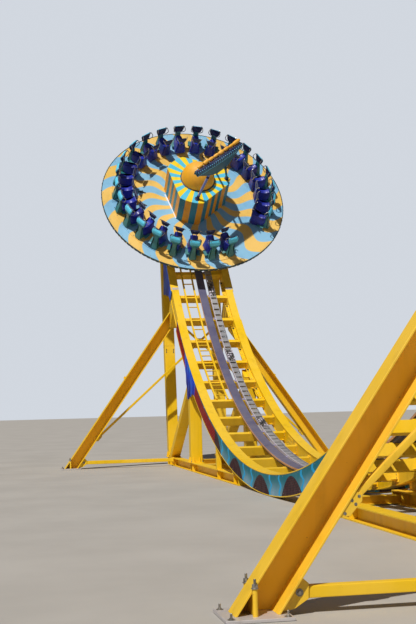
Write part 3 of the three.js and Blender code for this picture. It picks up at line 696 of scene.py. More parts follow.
def track_section(name, start, end):
    """Two box girders, their flange plates 15 mm proud of the webs, and the rungs between them."""
    piece = Piece()
    for side in BOTH:
        outline = [(side * (GIRDER_Y + a), 0.2 + b) for a, b in i_beam(0.23, 0.4, 0.022, 0.2)]
        piece.arc_sweep(eased(outline, 0.003), start, end)
    for angle in RUNGS:
        if start < angle < end:
            rung(piece, angle)
            if 24 < abs(angle) < 66:
                bay = tangent(angle + PITCH_DEG * 0.35, 0.1)
                piece.box(bay, mid(0.32), (-0.665, -0.786), (-0.014, 0.0), 0.003)
                piece.box(bay, mid(0.32), (-0.774, -0.786), (-0.12, 0.0), 0.003)
                piece.bolts(bay, product((-0.27, 0.0, 0.18), (-0.715,)), 0.009)
                cap = [(0.034, -0.002), (0.034, 0.01), (0.028, 0.014), (0.006, 0.014)]
                piece.solid_lathe(bay.moved(0.26, -0.71), cap, 18, "rubber")
    if abs(start) in SPLICES:
        splice(piece, start)
    for sign in BOTH:
        if sign * END in (start, end):
            stop = tangent(sign * END)
            for side in BOTH:
                flat = stop.view("vwu", 0, side * GIRDER_Y, -0.2, (1, 1, sign))
                piece.box(flat, mid(0.125), mid(0.21), (-0.016, 0.0), 0.004)
                post = Axes(on_arc(sign * (END - 0.55), 0.0, side * GIRDER_Y), *stop.basis)
                buffer = [(0.05, -0.01), (0.062, 0.004), (0.062, 0.06), (0.05, 0.078), (0.02, 0.084)]
                piece.solid_lathe(post, buffer, 20, "rubber")
    piece.make(name, "frame")


def drive_band():
    piece = Piece("slate")
    half = [(0.116, 0.006), (0.122, 0.012), (0.122, 0.05), (0.104, 0.05), (0.104, DEEP)]
    piece.arc_sweep(mirrored(half), -END, END)
    piece.arc_sweep(eased(rect(0.1225, 0.131, 0.008, 0.052), 0.002), -46, 46, finish="copper")
    for angle, side in product(RUNGS, BOTH):
        axes = tangent(angle, 0.1)
        piece.box(axes, mid(0.05), (side * 0.104, side * 0.17), (0.0003, 0.014), 0.002, "yellow")
        piece.bolts(axes, [(0, side * 0.148)], 0.01, lift=0.014)
    piece.make("drive_band", "frame")


def power_tray():
    """Cable tray: two side rails, cross plates with gaps between them, cables below."""
    piece = Piece("silver")
    inner, outer = -0.220, -0.425
    rail = [(0, 0.034), (0.018, 0.034), (0.018, 0.038), (0.004, 0.038), (0.004, DEEP - 0.004),
            (0.018, DEEP - 0.004), (0.018, DEEP), (0, DEEP)]
    piece.arc_sweep([(outer + a, drop) for a, drop in rail], -END, END)
    piece.arc_sweep([(inner - a, drop) for a, drop in rail], -END, END, finish="pale")
    across = inner - 0.005, outer + 0.005
    for k in range(-70, 71):
        axes = tangent(k * PITCH_DEG / 4, 0.052)
        piece.box(axes, mid(0.112), across, (-0.006, 0.0), 0.0015)
        for a in (-0.112, 0.1):
            piece.box(axes, (a, a + 0.012), across, (0.0, 0.01), 0.002)
        if k % 4 == 2:
            piece.box(axes, mid(0.05), (inner - 0.002, inner + 0.05), (-0.03, -0.024), 0.002, "lilac")
            piece.bolts(axes, product((0.02, -0.02), (inner + 0.03,)), 0.007, lift=-0.024)
    for y in (-0.28, -0.305, -0.335, -0.365):
        piece.arc_sweep(regular(0.010, 6, centre=(y, 0.084)), -END, END, 1.0, "rubber")
    for place, angle in enumerate((46.7, 34.7, 19.9, -19.9, -34.7, -46.7)):
        junction(piece, angle, place)
    piece.make("power_tray", "frame")


def junction(piece, angle, seed):
    """A cluster of connector boxes in three rows, each with a short looped lead."""
    axes = tangent(angle, 0.04)
    for i, (a, y) in enumerate(product((-0.24, -0.12, 0.0, 0.12, 0.24), (-0.262, -0.332, -0.398))):
        high = 0.026 + 0.01 * ((i * 2 + seed) % 3)
        finish = ("pale", "steel", "bolt", "pale")[(i + seed) % 4]
        piece.box(axes, (a - 0.036, a + 0.036), (y - 0.022, y + 0.022), (0.0, high), 0.004, finish)
        lead = []
        for t in range(9):
            bow = math.sin(math.pi * t / 8)
            lead.append(axes.spot(a + 0.036 + 0.045 * bow, y + 0.05 * t / 8, 0.012 + 0.024 * bow))
        piece.tube(lead, 0.006, 6, "steel")


def ladder(name, sign, start=25.9, stop=END - 0.4):
    piece = Piece()
    for y in (0.248, 0.568):
        outline = [(y + a, DEEP - 0.025 + b) for a, b in rounded(0.052, 0.05, 0.01)]
        piece.arc_sweep(outline, *sorted((sign * start, sign * stop)))
    for k in range(1, 44):
        angle = start + k * PITCH_DEG / 4
        if angle <= 38 or k % 2 == 0:
            axes = tangent(sign * angle, DEEP - 0.027)
            piece.prism(axes.view("uwv", b=0.233), rounded(0.03, 0.03, 0.009), (0, 0.354), 0)
    for angle, y in product(RUNGS[25:], (0.2, 0.6)):
        axes = tangent(sign * angle, 0.1)
        piece.box(axes, mid(0.04), (y - 0.03, y + 0.03), (0.0003, 0.01), 0.002)
        piece.bolts(axes, [(0, y)], 0.009, lift=0.01)
    piece.make(name, "frame")


for title, start, end in (("middle", -S1, S1), ("far_lower", S1, S2), ("far_upper", S2, END),
                          ("near_lower", -S2, -S1), ("near_upper", -END, -S2)):
    track_section(f"track_{title}", start, end)
drive_band()
power_tray()
ladder("ladder_far", 1)
ladder("ladder_near", -1)

# Side boards

FLAMES = ((32.2, 2.7, 0.64), (50.2, 3.2, 0.76))  # centre and half width in degrees, reach in metres


def board_drop(angle):
    """Lower edge of the boards: curved flame tips near the ends, level between them."""
    extra = 0.0
    for centre, half, reach in FLAMES:
        t = 1 - abs(abs(angle) - centre) / half
        if t > 0:
            tooth = 0.035 * math.sin(t * 5 * math.pi) * math.sin(math.pi * t)
            extra = max(extra, reach * (t ** 1.25) + tooth)
    return 0.452 + extra


def side_board(name, side, start, end, finish):
    piece = Piece(finish)
    inner, outer, step = side * 1.006, side * 1.020, 1.0
    piece.arc_sweep(rect(inner, outer, 0.02, board_drop), start, end, 0.15)
    for lo, hi, d0, d1 in ((1.0003, 1.0253, 0.012, 0.03), (1.0003, 1.006, 0.03, 0.06)):
        edge = eased(rect(side * lo, side * hi, d0, d1), 0.002)
        piece.arc_sweep(edge, start, end, 0.5, "yellow")
    if finish == "art":
        step = PITCH_DEG
        for a, b in ((-29.4, 29.4), (35.0, 41.3), (-41.3, -35.0)):
            piece.arc_sweep(regular(0.0135, 8, centre=(side * 1.013, 0.458)), a, b, 0.5, "yellow")
        for k, s in product(range(1, 72, 2), BOTH):
            lamp = Axes(on_arc(s * (34.4 + k * 0.092), 0.38, outer), X, Z, side * Y)
            piece.solid_lathe(lamp, [(0.03, -0.002), (0.03, 0.004), (0.022, 0.005), (0.004, 0.0055)],
                              10, "redlamp")
    for k in range(int((end - start) / step) + 1):
        angle = start + 0.6 + k * step
        if angle < end:
            axes = tangent(angle, 0.2)
            piece.box(axes, mid(0.02), (side * 1.0003, inner), (-0.2, 0.17), 0.001, "yellow")
            piece.bolts(axes.view("uwv", b=outer, signs=(1, 1, side)), [(0, 0.14), (0, -0.2)], 0.007)
    piece.make(name, "frame")


SIDES = {"left": 1, "right": -1}
for title, side in SIDES.items():
    side_board(f"fascia_{title}_middle", side, -41.3, 41.3, "art")
    side_board(f"fascia_{title}_far", side, 46.4, 56.0, "flame")
    side_board(f"fascia_{title}_near", side, -56.0, -46.4, "flame")

# Supports

BEAM_Y, BEAM_TOP = 0.828, 0.2503
COLUMN_HALF, COLUMN_FOOT = 0.17, 0.022
COLUMN = rounded(0.34, 0.34, 0.02)


def base_plate(piece, x, y, z, size, thick, bolt=0.016, finish=None):
    axes = GROUND.moved(x, y, z)
    piece.box(axes, mid(size / 2), mid(size / 2), (0, thick), 0.004, finish)
    for a, b in product(mid(size / 2 - 0.055), repeat=2):
        piece.bolts(axes, [(a, b)], bolt, lift=thick)
        stud = [(bolt * 0.55, 0.0), (bolt * 0.55, bolt * 2.6), (bolt * 0.4, bolt * 2.8)]
        piece.solid_lathe(axes.moved(a, b, thick), stud, 8, "bolt")


def column_foot(piece, x, y, high, faces):
    """Base plate with pairs of triangular stiffeners on some faces of a column."""
    base_plate(piece, x, y, BEAM_TOP, 0.44, COLUMN_FOOT)
    outline = [(-0.002, 0), (0.045, 0), (0.045, 0.02), (0.02, high), (-0.002, high)]
    for (sx, sy), offset in product(faces, mid(0.5 * COLUMN_HALF)):
        foot = GROUND.moved(x, y, BEAM_TOP + COLUMN_FOOT)
        if sx:
            axes = foot.view("uwv", sx * COLUMN_HALF, offset, signs=(sx, 1, 1))
        else:
            axes = foot.view("vwu", offset, sy * COLUMN_HALF, signs=(sy, 1, 1))
        piece.prism(axes, outline, mid(0.007), 0.002)


def girder_cap(end, x, y):
    """Frame on the underside of a girder, over a post x from the middle."""
    return tangent(end * math.degrees(math.asin(x / 17.0)), 0.4, y)


def column(name, end, side):
    piece = Piece()
    y = side * BEAM_Y
    foot, top, cap = vec(end * 13.55, y, BEAM_TOP), on_arc(end * 60, 0.2, y), tangent(end * 60, 0.4, y)
    piece.member(foot, top, COLUMN, Y, ((foot + 0.02 * Z, Z), (cap.spot(c=-0.022), cap.basis[2])))
    column_foot(piece, foot[0], y, 0.16, ((0, 1), (0, -1), (1, 0), (-1, 0)))
    piece.box(cap, mid(0.26), mid(COLUMN_HALF), (-0.022, -0.0003), 0.004)
    piece.bolts(cap.view("uvw", c=-0.022, signs=(1, 1, -1)), product(mid(0.22), mid(0.12)), 0.014)
    along = unit(top - foot)
    stem = Axes(foot, Y, np.cross(Y, along), along)
    for reach in (3.72, 7.05):
        piece.prism(stem.moved(c=reach), rounded(0.352, 0.352, 0.024), mid(0.012), 0.003)
    for reach, face in product((3.485, 3.536, 3.587), BOTH):
        spot = stem.view("uwv", 0, face * COLUMN_HALF, reach, (1, 1, face))
        piece.bolts(spot, [(-0.12, 0), (0.12, 0)], 0.012)
    piece.make(name, "frame")


def post(name, end, side):
    """A short column with an inclined strut towards the track's end."""
    piece = Piece()
    x, y, z = end * 9.3, side * BEAM_Y, BEAM_TOP
    cap = girder_cap(end, 9.3, y)
    cuts = (None, (cap.spot(c=-0.02), cap.basis[2]))
    piece.member((x, y, z + 0.02), (x, y, 3.0), COLUMN, Y, cuts)
    column_foot(piece, x, y, 0.14, ((0, 1), (0, -1), (-end, 0)))
    piece.box(cap, mid(0.22), mid(COLUMN_HALF), (-0.02, -0.0003), 0.004)
    low, high = vec(end * 13.13, y, z + 0.11), vec(end * 9.36, y, 2.62)
    cuts = (((0, 0, z + 0.022), Z), ((end * 9.47, 0, 0), X))
    piece.member(low, high, rounded(0.30, 0.23, 0.018), Y, cuts)
    piece.box(GROUND.moved(end * 13.2, y, z), mid(0.28), mid(0.15), (0.0, 0.022), 0.004)
    along = unit(high - low)
    middle = Axes(low + along * 1.9, Y, np.cross(along, Y), along)
    piece.prism(middle, rounded(0.312, 0.242, 0.02), mid(0.012), 0.003)
    piece.make(name, "frame")


def base_frame(name, end):
    piece = Piece()
    tie_x, tie_z = end * 12.7, 0.195
    for side in BOTH:
        y, y_out = side * BEAM_Y, side * 0.932
        piece.member((end * 2.9, y, 0.125), (end * 13.85, y, 0.125), i_beam(0.30, 0.25, 0.02, 0.014), Y)
        for x, face in product((2.91, 3.4, 5.4, 9.15, 9.45, 12.7, 13.38, 13.72, 13.84), BOTH):
            web = GROUND.moved(end * x, y + face * 0.078, 0.125)
            piece.box(web, mid(0.006), mid(0.07), mid(0.104), 0.002)
        for x in (3.4, 5.4):
            cap = girder_cap(end, x, y_out)
            cuts = (None, (cap.spot(c=-0.012), cap.basis[2]))
            piece.member((end * x, y_out, 0.26), (end * x, y_out, 1.5), rounded(0.13, 0.13, 0.014), Y, cuts)
            base_plate(piece, end * x, side * 0.905, 0.2495, 0.2, 0.014, 0.01)
            piece.box(cap, mid(0.1), mid(0.065), (-0.014, -0.0003), 0.003)
        ends = [(tie_x, side * reach, tie_z) for reach in (0.97, 3.86)]
        piece.member(*ends, rounded(0.12, 0.11, 0.012), X)
        for at, half in ((0.984, 0.09), (3.874, 0.064)):
            piece.box(GROUND.moved(tie_x, side * at, tie_z), mid(half), mid(0.01), mid(0.085), 0.003)
    for x in (3.1, 9.3, 12.7):
        piece.member((end * x, -0.82, 0.1), (end * x, 0.82, 0.1), i_beam(0.18, 0.16, 0.014, 0.01), X)
    piece.make(name, "frame")


def anchor_chair(piece, x, y):
    """A short tube that carries a foundation stud with its nut and washer."""
    axes = GROUND.moved(x, y, 0.03)
    piece.lathe(axes, [(0.015, 0.0), (0.024, 0.0), (0.024, 0.236), (0.022, 0.24), (0.015, 0.24)], 18)
    nut = [(0.025, 0.248), (0.027, 0.252), (0.027, 0.276), (0.025, 0.28)]
    for count, line in ((10, [(0.012, 0.0), (0.012, 0.32), (0.009, 0.325)]),
                        (18, [(0.034, 0.24), (0.034, 0.246), (0.032, 0.248)]), (6, nut)):
        piece.solid_lathe(axes, line, count, "bolt")


def leg_bracket(piece, end, side):
    """Two trapezoid plates with walls between them, hung under the girder."""
    flat = tangent(end * 45.8).view("uwv")
    between = side * 0.79, side * 0.982
    for a, b in ((0.780, 0.796), (0.976, 0.992)):
        piece.prism(flat, mirrored([(0.215, -1.27), (0.34, -0.4005)]), (side * a, side * b), 0.003)
    for sx in BOTH:
        wall = [(sx * 0.20, -1.25), (sx * 0.214, -1.25), (sx * 0.326, -0.402), (sx * 0.312, -0.402)]
        piece.prism(flat, wall, between, 0)
    piece.prism(flat, rect(-0.21, 0.21, -1.268, -1.25), between, 0)
    piece.prism(flat, rect(-0.36, 0.36, -0.418, -0.4005), (side * 0.772, side * 0.998), 0.003)
    outside = flat.view("uvw", c=side * 0.992, signs=(1, 1, side))
    piece.bolts(outside, product((-0.15, 0, 0.15), (-1.18, -0.5)), 0.014)


def cross_brace(piece, end, side, foot, outer):
    """Tube from the leg's ankle to the bracket opposite, with its end plate and gussets."""
    x, z = end * (12.76 + side * 0.04), 4.72
    cuts = ((foot - outer * 0.1703, outer), ((0, -side * 0.7797, 0), Y))
    piece.member((x, side * 3.72, 0.665), (x, -side * 0.78, z), rounded(0.07, 0.07, 0.012), X, cuts)
    plate = GROUND.view("uwv", x, -side * 0.7797, z, (1, 1, side))
    piece.box(plate, mid(0.075), mid(0.075), (0, 0.012), 0.003)
    piece.bolts(plate, product(mid(0.058), repeat=2), 0.009, lift=0.012)
    for face in BOTH:
        flat = GROUND.view("vwu", x + face * 0.0355, signs=(side, 1, face))
        gusset = [(3.478, 0.853), (3.319, 1.079), (3.256, 1.056), (3.262, 0.99), (3.38, 0.862)]
        piece.prism(flat, gusset, (0.0, 0.01), 0.002)
        piece.bolts(flat, [(3.43, 0.885), (3.325, 0.965), (3.29, 1.035), (3.36, 1.0)], 0.009, lift=0.01)
    if side > 0:
        node_plate = GROUND.view("vwu", end * 12.7608, 0, 4.017)
        piece.box(node_plate, mid(0.13), mid(0.11), mid(0.0048), 0.002)
        for face in BOTH:
            spots = [(-0.1, 0), (0.1, 0), (0, -0.086), (0, 0.086)]
            piece.bolts(node_plate.view("uvw", signs=(1, 1, face)), spots, 0.009, lift=0.0048)


def raking_leg(name, end, side):
    """A channel open towards -X on a bolted foot, with a bracket under the girder and a crossed brace."""
    piece = Piece("yellow" if end > 0 else "dusty")
    foot, top = vec(end * 12.7, side * 4.27, 0.02), vec(end * 12.73, side * 1.0, 4.68)
    along = unit(top - foot)
    cuts = (((0, 0, 0.031), Z), ((0, side * 0.992, 0), Y))
    piece.member(foot, top + 0.04 * (top - foot), eased(channel(0.30, 0.34, 0.02, 0.014), 0.003), X, cuts)
    outer = np.cross(along, X)
    outer = outer if outer[2] > 0 else -outer
    base_plate(piece, foot[0], foot[1], 0.0, 0.62, 0.03, 0.02, "bare")
    piece.box(GROUND.moved(foot[0], side * 4.29, 0.03), (-0.14, 0.13), mid(0.01), (0.0, 0.21), 0.003)
    for sx in mid(0.175):
        anchor_chair(piece, foot[0] + sx, side * 4.29)
    # lug plates that take the tie, with one pin each
    lug = GROUND.view("vwu", foot[0], signs=(side, 1, 1))
    outline = [(3.775, 0.14), (3.905, 0.06), (4.05, 0.035), (3.845, 0.328), (3.835, 0.335), (3.77, 0.275)]
    for face in BOTH:
        piece.prism(lug, outline, (face * 0.068, face * 0.082), 0.003)
        pin = lug.view("uvw", c=face * 0.082, signs=(1, 1, face))
        piece.bolts(pin, [(3.86, 0.2)], 0.021)
    # lifting tab on the upper flange
    tab = Axes(foot + 0.59 * (top - foot) + outer * 0.1695, along, outer, X)
    piece.prism(tab, mirrored([(0.05, 0), (0.04, 0.035), (0.018, 0.058)]), mid(0.007), 0.002)
    leg_bracket(piece, end, side)
    cross_brace(piece, end, side, foot, outer)
    piece.make(name, "frame")


for end_name, end in {"far": 1, "near": -1}.items():
    base_frame(f"base_frame_{end_name}", end)
    for side_name, side in SIDES.items():
        for build in (column, post, raking_leg):
            build(f"{build.__name__}_{end_name}_{side_name}", end, side)

# Trolley

AXLE, WHEEL = 1.22, 0.15  # half the wheelbase and a wheel's radius


def wheel_axes(along, height):
    """Frame of a cross shaft: w along +Y, u down towards the track."""
    lean = math.atan2(along, R - height)
    u, _, w = TROLLEY.basis
    down = -w * math.cos(lean) + u * math.sin(lean)
    ahead = u * math.cos(lean) + w * math.sin(lean)
    return Axes(TROLLEY.spot(along, 0, height), down, ahead, Y)


def axle_place(sign):
    """Wheels that just clear the flat facets of the solid track."""
    angle = math.asin(AXLE / R)
    reach = R * math.cos(rad(PITCH_DEG / 4)) - 0.00015 - WHEEL
    return sign * reach * math.sin(angle), R - reach * math.cos(angle)


def wheelset(name, sign):
    piece = Piece("rubber")
    axes = wheel_axes(*axle_place(sign))
    piece.solid_lathe(axes, [(0.030, -0.936), (0.040, -0.926), (0.040, 0.926), (0.030, 0.936)], 20, "steel")
    for side in BOTH:
        turn = axes.view("uvw", signs=(1, side, side))
        tyre = [(0.118, 0.846), (0.140, 0.842), (0.148, 0.850), (WHEEL, 0.862), (WHEEL, 0.908),
                (0.148, 0.920), (0.140, 0.928), (0.118, 0.924)]
        piece.lathe(turn, tyre, 40)
        hub = [(0.038, 0.850), (0.060, 0.850), (0.060, 0.872), (0.112, 0.872), (0.112, 0.848), (0.119, 0.848),
               (0.119, 0.922), (0.112, 0.922), (0.112, 0.898), (0.060, 0.898), (0.060, 0.926), (0.038, 0.926)]
        piece.lathe(turn, hub, 32, "yellow")
        piece.bolts(turn, regular(0.082, 6), 0.008, lift=0.898)
        piece.bolts(turn, regular(0.049, 5, 20), 0.005, lift=0.926)
    piece.make(name, "trolley")


def chassis():
    """Two side beams with wheel hangers and guide rollers, cross beams, top plate and slewing ring."""
    piece = Piece("steel")
    axes = TROLLEY
    centre, high, half = 0.445, 0.56, 1.36
    foot = axle_place(1)[1] - high - 0.07
    for side in BOTH:
        y = side * 0.605
        beam = eased(i_beam(0.17, 0.23, 0.018, 0.012), 0.002)
        piece.member(axes.spot(-half, y, centre), axes.spot(half, y, centre), beam, Y)
        for t, face in product(np.linspace(-1.3, 1.3, 9), BOTH):
            piece.box(axes.moved(t, y + face * 0.045, centre), mid(0.005), mid(0.038), mid(0.096), 0.0015)
        for sign in BOTH:
            plane = axes.view("uwv", sign * AXLE, 0, high, (1, 1, -1))
            hanger = mirrored([(0.11, -0.04), (0.11, -0.1), (0.085, -0.2), (0.06, foot)])
            for y0, y1 in ((0.686, 0.706), (0.790, 0.812)):
                piece.prism(plane, hanger, (-side * y0, -side * y1), 0.003)
            piece.box(plane, mid(0.11), (-0.075, -0.04), (-side * 0.69, -side * 0.812), 0.003)
            bearing = wheel_axes(*axle_place(sign))
            for y0, y1 in ((0.706, 0.722), (0.774, 0.790)):
                piece.lathe(bearing, rect(0.0425, 0.078, side * y0, side * y1), 24)
            roller = axes.moved(sign * 0.96, side * 0.7)
            piece.disc(roller.moved(b=-side * 0.024), 0.022, (0.0, 0.37), 16, 0.002)
            tyre = [(0.02, -0.008), (0.05, -0.008), (0.058, -0.002)]
            tyre += [(r, 0.052 - h) for r, h in reversed(tyre)]
            piece.lathe(roller, tyre, 28, "rubber")
            piece.disc(roller, 0.03, (0.06, 0.07), 16, 0.002, "bolt")
    for t in (-1.22, 0.0, 1.22):
        piece.member(axes.spot(t, -0.53, 0.45), axes.spot(t, 0.53, 0.45), i_beam(0.12, 0.2, 0.014, 0.01),
                     axes.basis[0])
    piece.box(axes, mid(0.78), mid(0.78), (0.556, 0.58), 0.006)
    piece.bolts(axes, product((-0.7, -0.35, 0, 0.35, 0.7), mid(0.74)), 0.014, lift=0.58)
    slewing = [(0.60, 0.575), (0.79, 0.575), (0.79, 0.595), (0.74, 0.6), (0.74, 0.646), (0.60, 0.646)]
    piece.lathe(axes, slewing, 72)
    piece.bolts(axes, regular(0.765, 36), 0.009, lift=0.595)
    piece.make("trolley_chassis", "trolley")


def drive_unit():
    """Grooved tyre on the drive band, gear case, finned motor and their cross plate."""
    piece = Piece("rubber")
    t = -0.52
    height = R - math.sqrt(R * R - t * t) + 0.171
    axes = wheel_axes(t, height)
    groove = []
    for k in range(8):
        y = -0.1 + 0.025 * k
        groove += [(0.165, y + 0.002), (0.165, y + 0.018), (0.159, y + 0.0195)]
    one = [(0.108, -0.096), (0.150, -0.1), (0.162, -0.097)]
    other = [(0.162, 0.098), (0.150, 0.1), (0.108, 0.096)]
    piece.lathe(axes, one + groove + other, 48)
    piece.lathe(axes, [(0.034, -0.07), (0.11, -0.085), (0.11, 0.085), (0.034, 0.07)], 32, "steel")
    piece.disc(axes, 0.034, (-0.265, 0.42), 20, 0.004, "steel")
    piece.bolts(axes, regular(0.075, 8), 0.009, lift=0.078)
    piece.box(TROLLEY, (t - 0.13, t + 0.13), (0.15, 0.29), (height - 0.11, 0.35), 0.012, "steel")
    piece.lathe(axes, [(0.03, 0.135), (0.085, 0.135), (0.1, 0.152), (0.03, 0.152)], 28, "steel")
    ribs = []
    for k in range(9):
        y = 0.305 + 0.018 * k
        ribs += [(0.094, y), (0.105, y + 0.003), (0.105, y + 0.009), (0.094, y + 0.012)]
    cover = [(0.098, 0.475), (0.098, 0.496), (0.085, 0.505), (0.03, 0.505)]
    piece.lathe(axes, [(0.03, 0.288), (0.095, 0.288)] + ribs + cover, 36, "slate")
    piece.box(TROLLEY, (t - 0.07, t + 0.07), (-0.26, -0.18), (height - 0.07, 0.35), 0.008, "steel")
    piece.box(TROLLEY, (t - 0.17, t + 0.17), mid(0.5197), (0.34, 0.39), 0.006, "steel")
    piece.bolts(TROLLEY, product((t - 0.13, t + 0.13), (-0.48, -0.3, 0.3, 0.48)), 0.011, lift=0.39)
    piece.make("drive_unit", "trolley")


chassis()
wheelset("wheelset_upper", 1)
wheelset("wheelset_lower", -1)
drive_unit()

# Disc


def underframe():
    """Turntable with its gear ring, three ring beams and eight spokes."""
    piece = Piece()
    low, high = 0.6463, 0.9317
    axes = TROLLEY
    drum = [(0.60, low), (0.74, low), (0.74, low + 0.06), (0.70, low + 0.07), (0.70, high), (0.60, high)]
    piece.lathe(axes, drum, 72)
    teeth = [polar(r, 3.75 * k + shift) for k in range(96)
             for shift, r in ((-1.3, 0.742), (-0.6, 0.758), (0.6, 0.758), (1.3, 0.742))]
    piece.loft([axes.ring(teeth, low + c) for c in (0.004, 0.05)], "steel")
    for r0, r1, deep in ((2.18, 2.26, 0.13), (2.96, 3.02, 0.08), (1.42, 1.47, 0.09)):
        beam = i_beam(r1 - r0, deep, 0.012, 0.01)
        piece.lathe(axes, [((r0 + r1) / 2 + a, high - deep / 2 + b) for a, b in beam], 96)
    web = [(0.69, low + 0.01), (1.1, low + 0.02), (3.0, high - 0.06), (3.0, high - 0.002),
           (0.69, high - 0.002)]
    lower = [(0.69, low + 0.005), (1.1, low + 0.015), (3.0, high - 0.066), (3.0, high - 0.054),
             (1.1, low + 0.028), (0.69, low + 0.018)]
    for k in range(8):
        spoke, half = axes.turned(k * 45 + 22.5), axes.turned(k * 45)
        side = spoke.view("uwv", signs=(1, 1, -1))
        piece.prism(side, web, mid(0.006), 0.001)
        piece.prism(side, rect(0.69, 3.0, high - 0.014, high - 0.001), mid(0.035), 0.001)
        piece.prism(side, lower, mid(0.035), 0.001)
        for r in (0.95, 1.44, 1.9, 2.22, 2.6):
            foot = low + 0.03 + max(0, r - 1.1) / 1.9 * (high - 0.06 - low - 0.02)
            piece.box(spoke.moved(a=r), mid(0.005), mid(0.034), (foot, high - 0.014), 0.001)
        piece.box(half, (1.47, 2.18), mid(0.025), (high - 0.07, high - 0.0005), 0.002)
        piece.box(half, (2.26, 2.96), mid(0.025), (high - 0.06, high - 0.0005), 0.002)
    piece.make("disc_underframe", "disc")


def deck():
    piece = Piece("deck")
    edge = 3.078
    top = [(r, 0.0) for r in (0.02, 0.8, 1.6, 2.4, 2.9, edge - 0.004)] + [(edge, -0.004)]
    bottom = [(edge, -0.056)] + [(r, -0.06) for r in (edge - 0.004, 2.4, 1.2, 0.02)]
    piece.solid_lathe(DISC, top + bottom, 144)
    piece.bolts(DISC, regular(3.03, 48, 3.75), 0.007)
    # low kerb strip beside the drum and four grab handles
    strip = eased(rect(-0.012, 0.012, -0.024, 0.024), 0.004)
    ends = DISC.spot(0.147, 0.948, 0.012), DISC.spot(-0.918, 0.672, 0.012)
    piece.member(*ends, strip, DISC.basis[2], finish="white")
    for a, b in ((0.25, 1.72), (-0.3, 1.72), (-1.75, 1.35), (1.9, -0.6)):
        axes = DISC.moved(a, b).turned(25 * a + 40 * b)
        bow = [polar(1, t) for t in np.linspace(0, 180, 9)]
        piece.tube([axes.spot(0.09 * c, 0, 0.002 + 0.035 * s) for c, s in bow], 0.007, 6, "steel")
        piece.box(axes, mid(0.13), mid(0.03), (0.0, 0.004), 0.001, "steel")
    piece.make("disc_deck", "disc")


def rim():
    """Edge trim with a scalloped skirt and a row of small lamps."""
    piece = Piece("trim")
    edge = [(3.079, -0.05), (3.094, -0.05), (3.1, -0.042), (3.1, 0.002), (3.094, 0.008), (3.084, 0.008),
            (3.079, 0.002)]
    piece.lathe(DISC, edge, 180)
    count, steps = 120, 4
    rings = []
    for k in range(count * steps):
        depth = -0.066 - 0.02 * abs(math.sin(math.pi * k / steps))
        skirt = rect(3.086, 3.092, -0.049, depth)
        rings.append(DISC.at([(*polar(r, 360 * k / (count * steps)), h) for r, h in skirt]))
    piece.loft(rings, closed=True)
    for k in range(count):
        out = DISC.turned(360 * k / count)
        lamp = out.view("vwu", 3.1, 0, -0.022)
        piece.solid_lathe(lamp, [(0.017, -0.004), (0.017, 0.003), (0.013, 0.009), (0.004, 0.012)], 8,
                          "lamp" if k % 2 else "navy")
    piece.make("disc_rim", "disc")


def hub_outline(grow=0.0, steps=12):
    """A circle cut by three flats, grown or shrunk."""
    half = 60 - math.degrees(math.acos(0.832 / 1.07))
    points = []
    for k, j in product(range(3), range(steps + 1)):
        a, b = polar(1.07 + grow, 42.3 + 120 * k - half + 2 * half * j / steps)
        points.append((HUB[0] + a, HUB[1] + b))
    return points


def hub():
    piece = Piece("hub")
    outline = hub_outline()
    piece.prism(DISC, outline, (0.0003, HUB_HIGH - 0.028), 0.004)
    lid = ((-0.004, -0.03), (0.008, -0.028), (0.012, -0.02), (0.012, -0.008), (0.006, -0.002), (-0.004, 0.0))
    piece.loft([DISC.ring(hub_outline(grow), HUB_HIGH + c) for grow, c in lid])
    # kick strip and rivets
    kick = ((0.0, 0.0003), (0.008, 0.0003), (0.008, 0.07), (0.0, 0.076))
    piece.loft([DISC.ring(hub_outline(grow), c) for grow, c in kick])
    for point, c in product(outline[::3], (0.14, 0.4, 0.66, 0.92)):
        away = unit(vec(*point) - vec(*HUB))
        normal = DISC.basis[0] * away[0] + DISC.basis[1] * away[1]
        spot = Axes(DISC.spot(*point, c), np.cross(DISC.basis[2], normal), DISC.basis[2], normal)
        piece.solid_lathe(spot, [(0.009, -0.002), (0.008, 0.003), (0.003, 0.005)], 8, "bolt")
    # service door on the uphill face
    door = DISC.moved(*HUB).turned(342.3).view("vwu", 0.832)
    piece.prism(door, rect(-0.3, 0.3, 0.16, 0.86), (-0.002, 0.008), 0.004)
    piece.bolts(door, product(mid(0.27), (0.2, 0.5, 0.82)), 0.007, lift=0.008)
    piece.box(door, (0.2, 0.225), (0.42, 0.6), (0.008, 0.035), 0.006, "steel")
    piece.make("hub_drum", "disc")


def dome():
    piece = Piece("gold")
    axes = DISC.moved(*HUB, HUB_HIGH)
    r = 0.548
    line = [(r - 0.01, 0.0003), (r - 0.01, 0.02), (r, 0.022), (r, 0.04)]
    for k in range(1, 22):
        a, b = polar(r, k * 90 / 21.5)
        line.append((a, 0.04 + b))
    piece.solid_lathe(axes, line, 72)
    ring = [(r - 0.02, 0.0004), (r + 0.028, 0.0004), (r + 0.03, 0.008), (r + 0.012, 0.016), (r - 0.02, 0.016)]
    piece.lathe(axes, ring, 72, "navy")
    piece.bolts(axes, regular(r + 0.02, 24), 0.005, lift=0.009)
    piece.make("hub_dome", "disc")


STERN, BOW = vec(-1.253, 0.400), vec(0.134, -1.255)
HULL_TOP = 2.48
KEEL = unit(BOW - STERN)
ALONG = DISC.basis[0] * KEEL[0] + DISC.basis[1] * KEEL[1]
ACROSS = DISC.basis[1] * KEEL[0] - DISC.basis[0] * KEEL[1]
# share of the hull's length, half width, keel's offset and depth
STATIONS = np.array([
    (0, 0.062, -0.05, 0.06), (0.33, 0.085, -0.01, 0.53), (0.51, 0.09, -0.04, 0.65), (0.77, 0.085, 0.0, 0.69),
    (0.88, 0.08, -0.025, 0.33), (1, 0.06, -0.05, 0.06)])


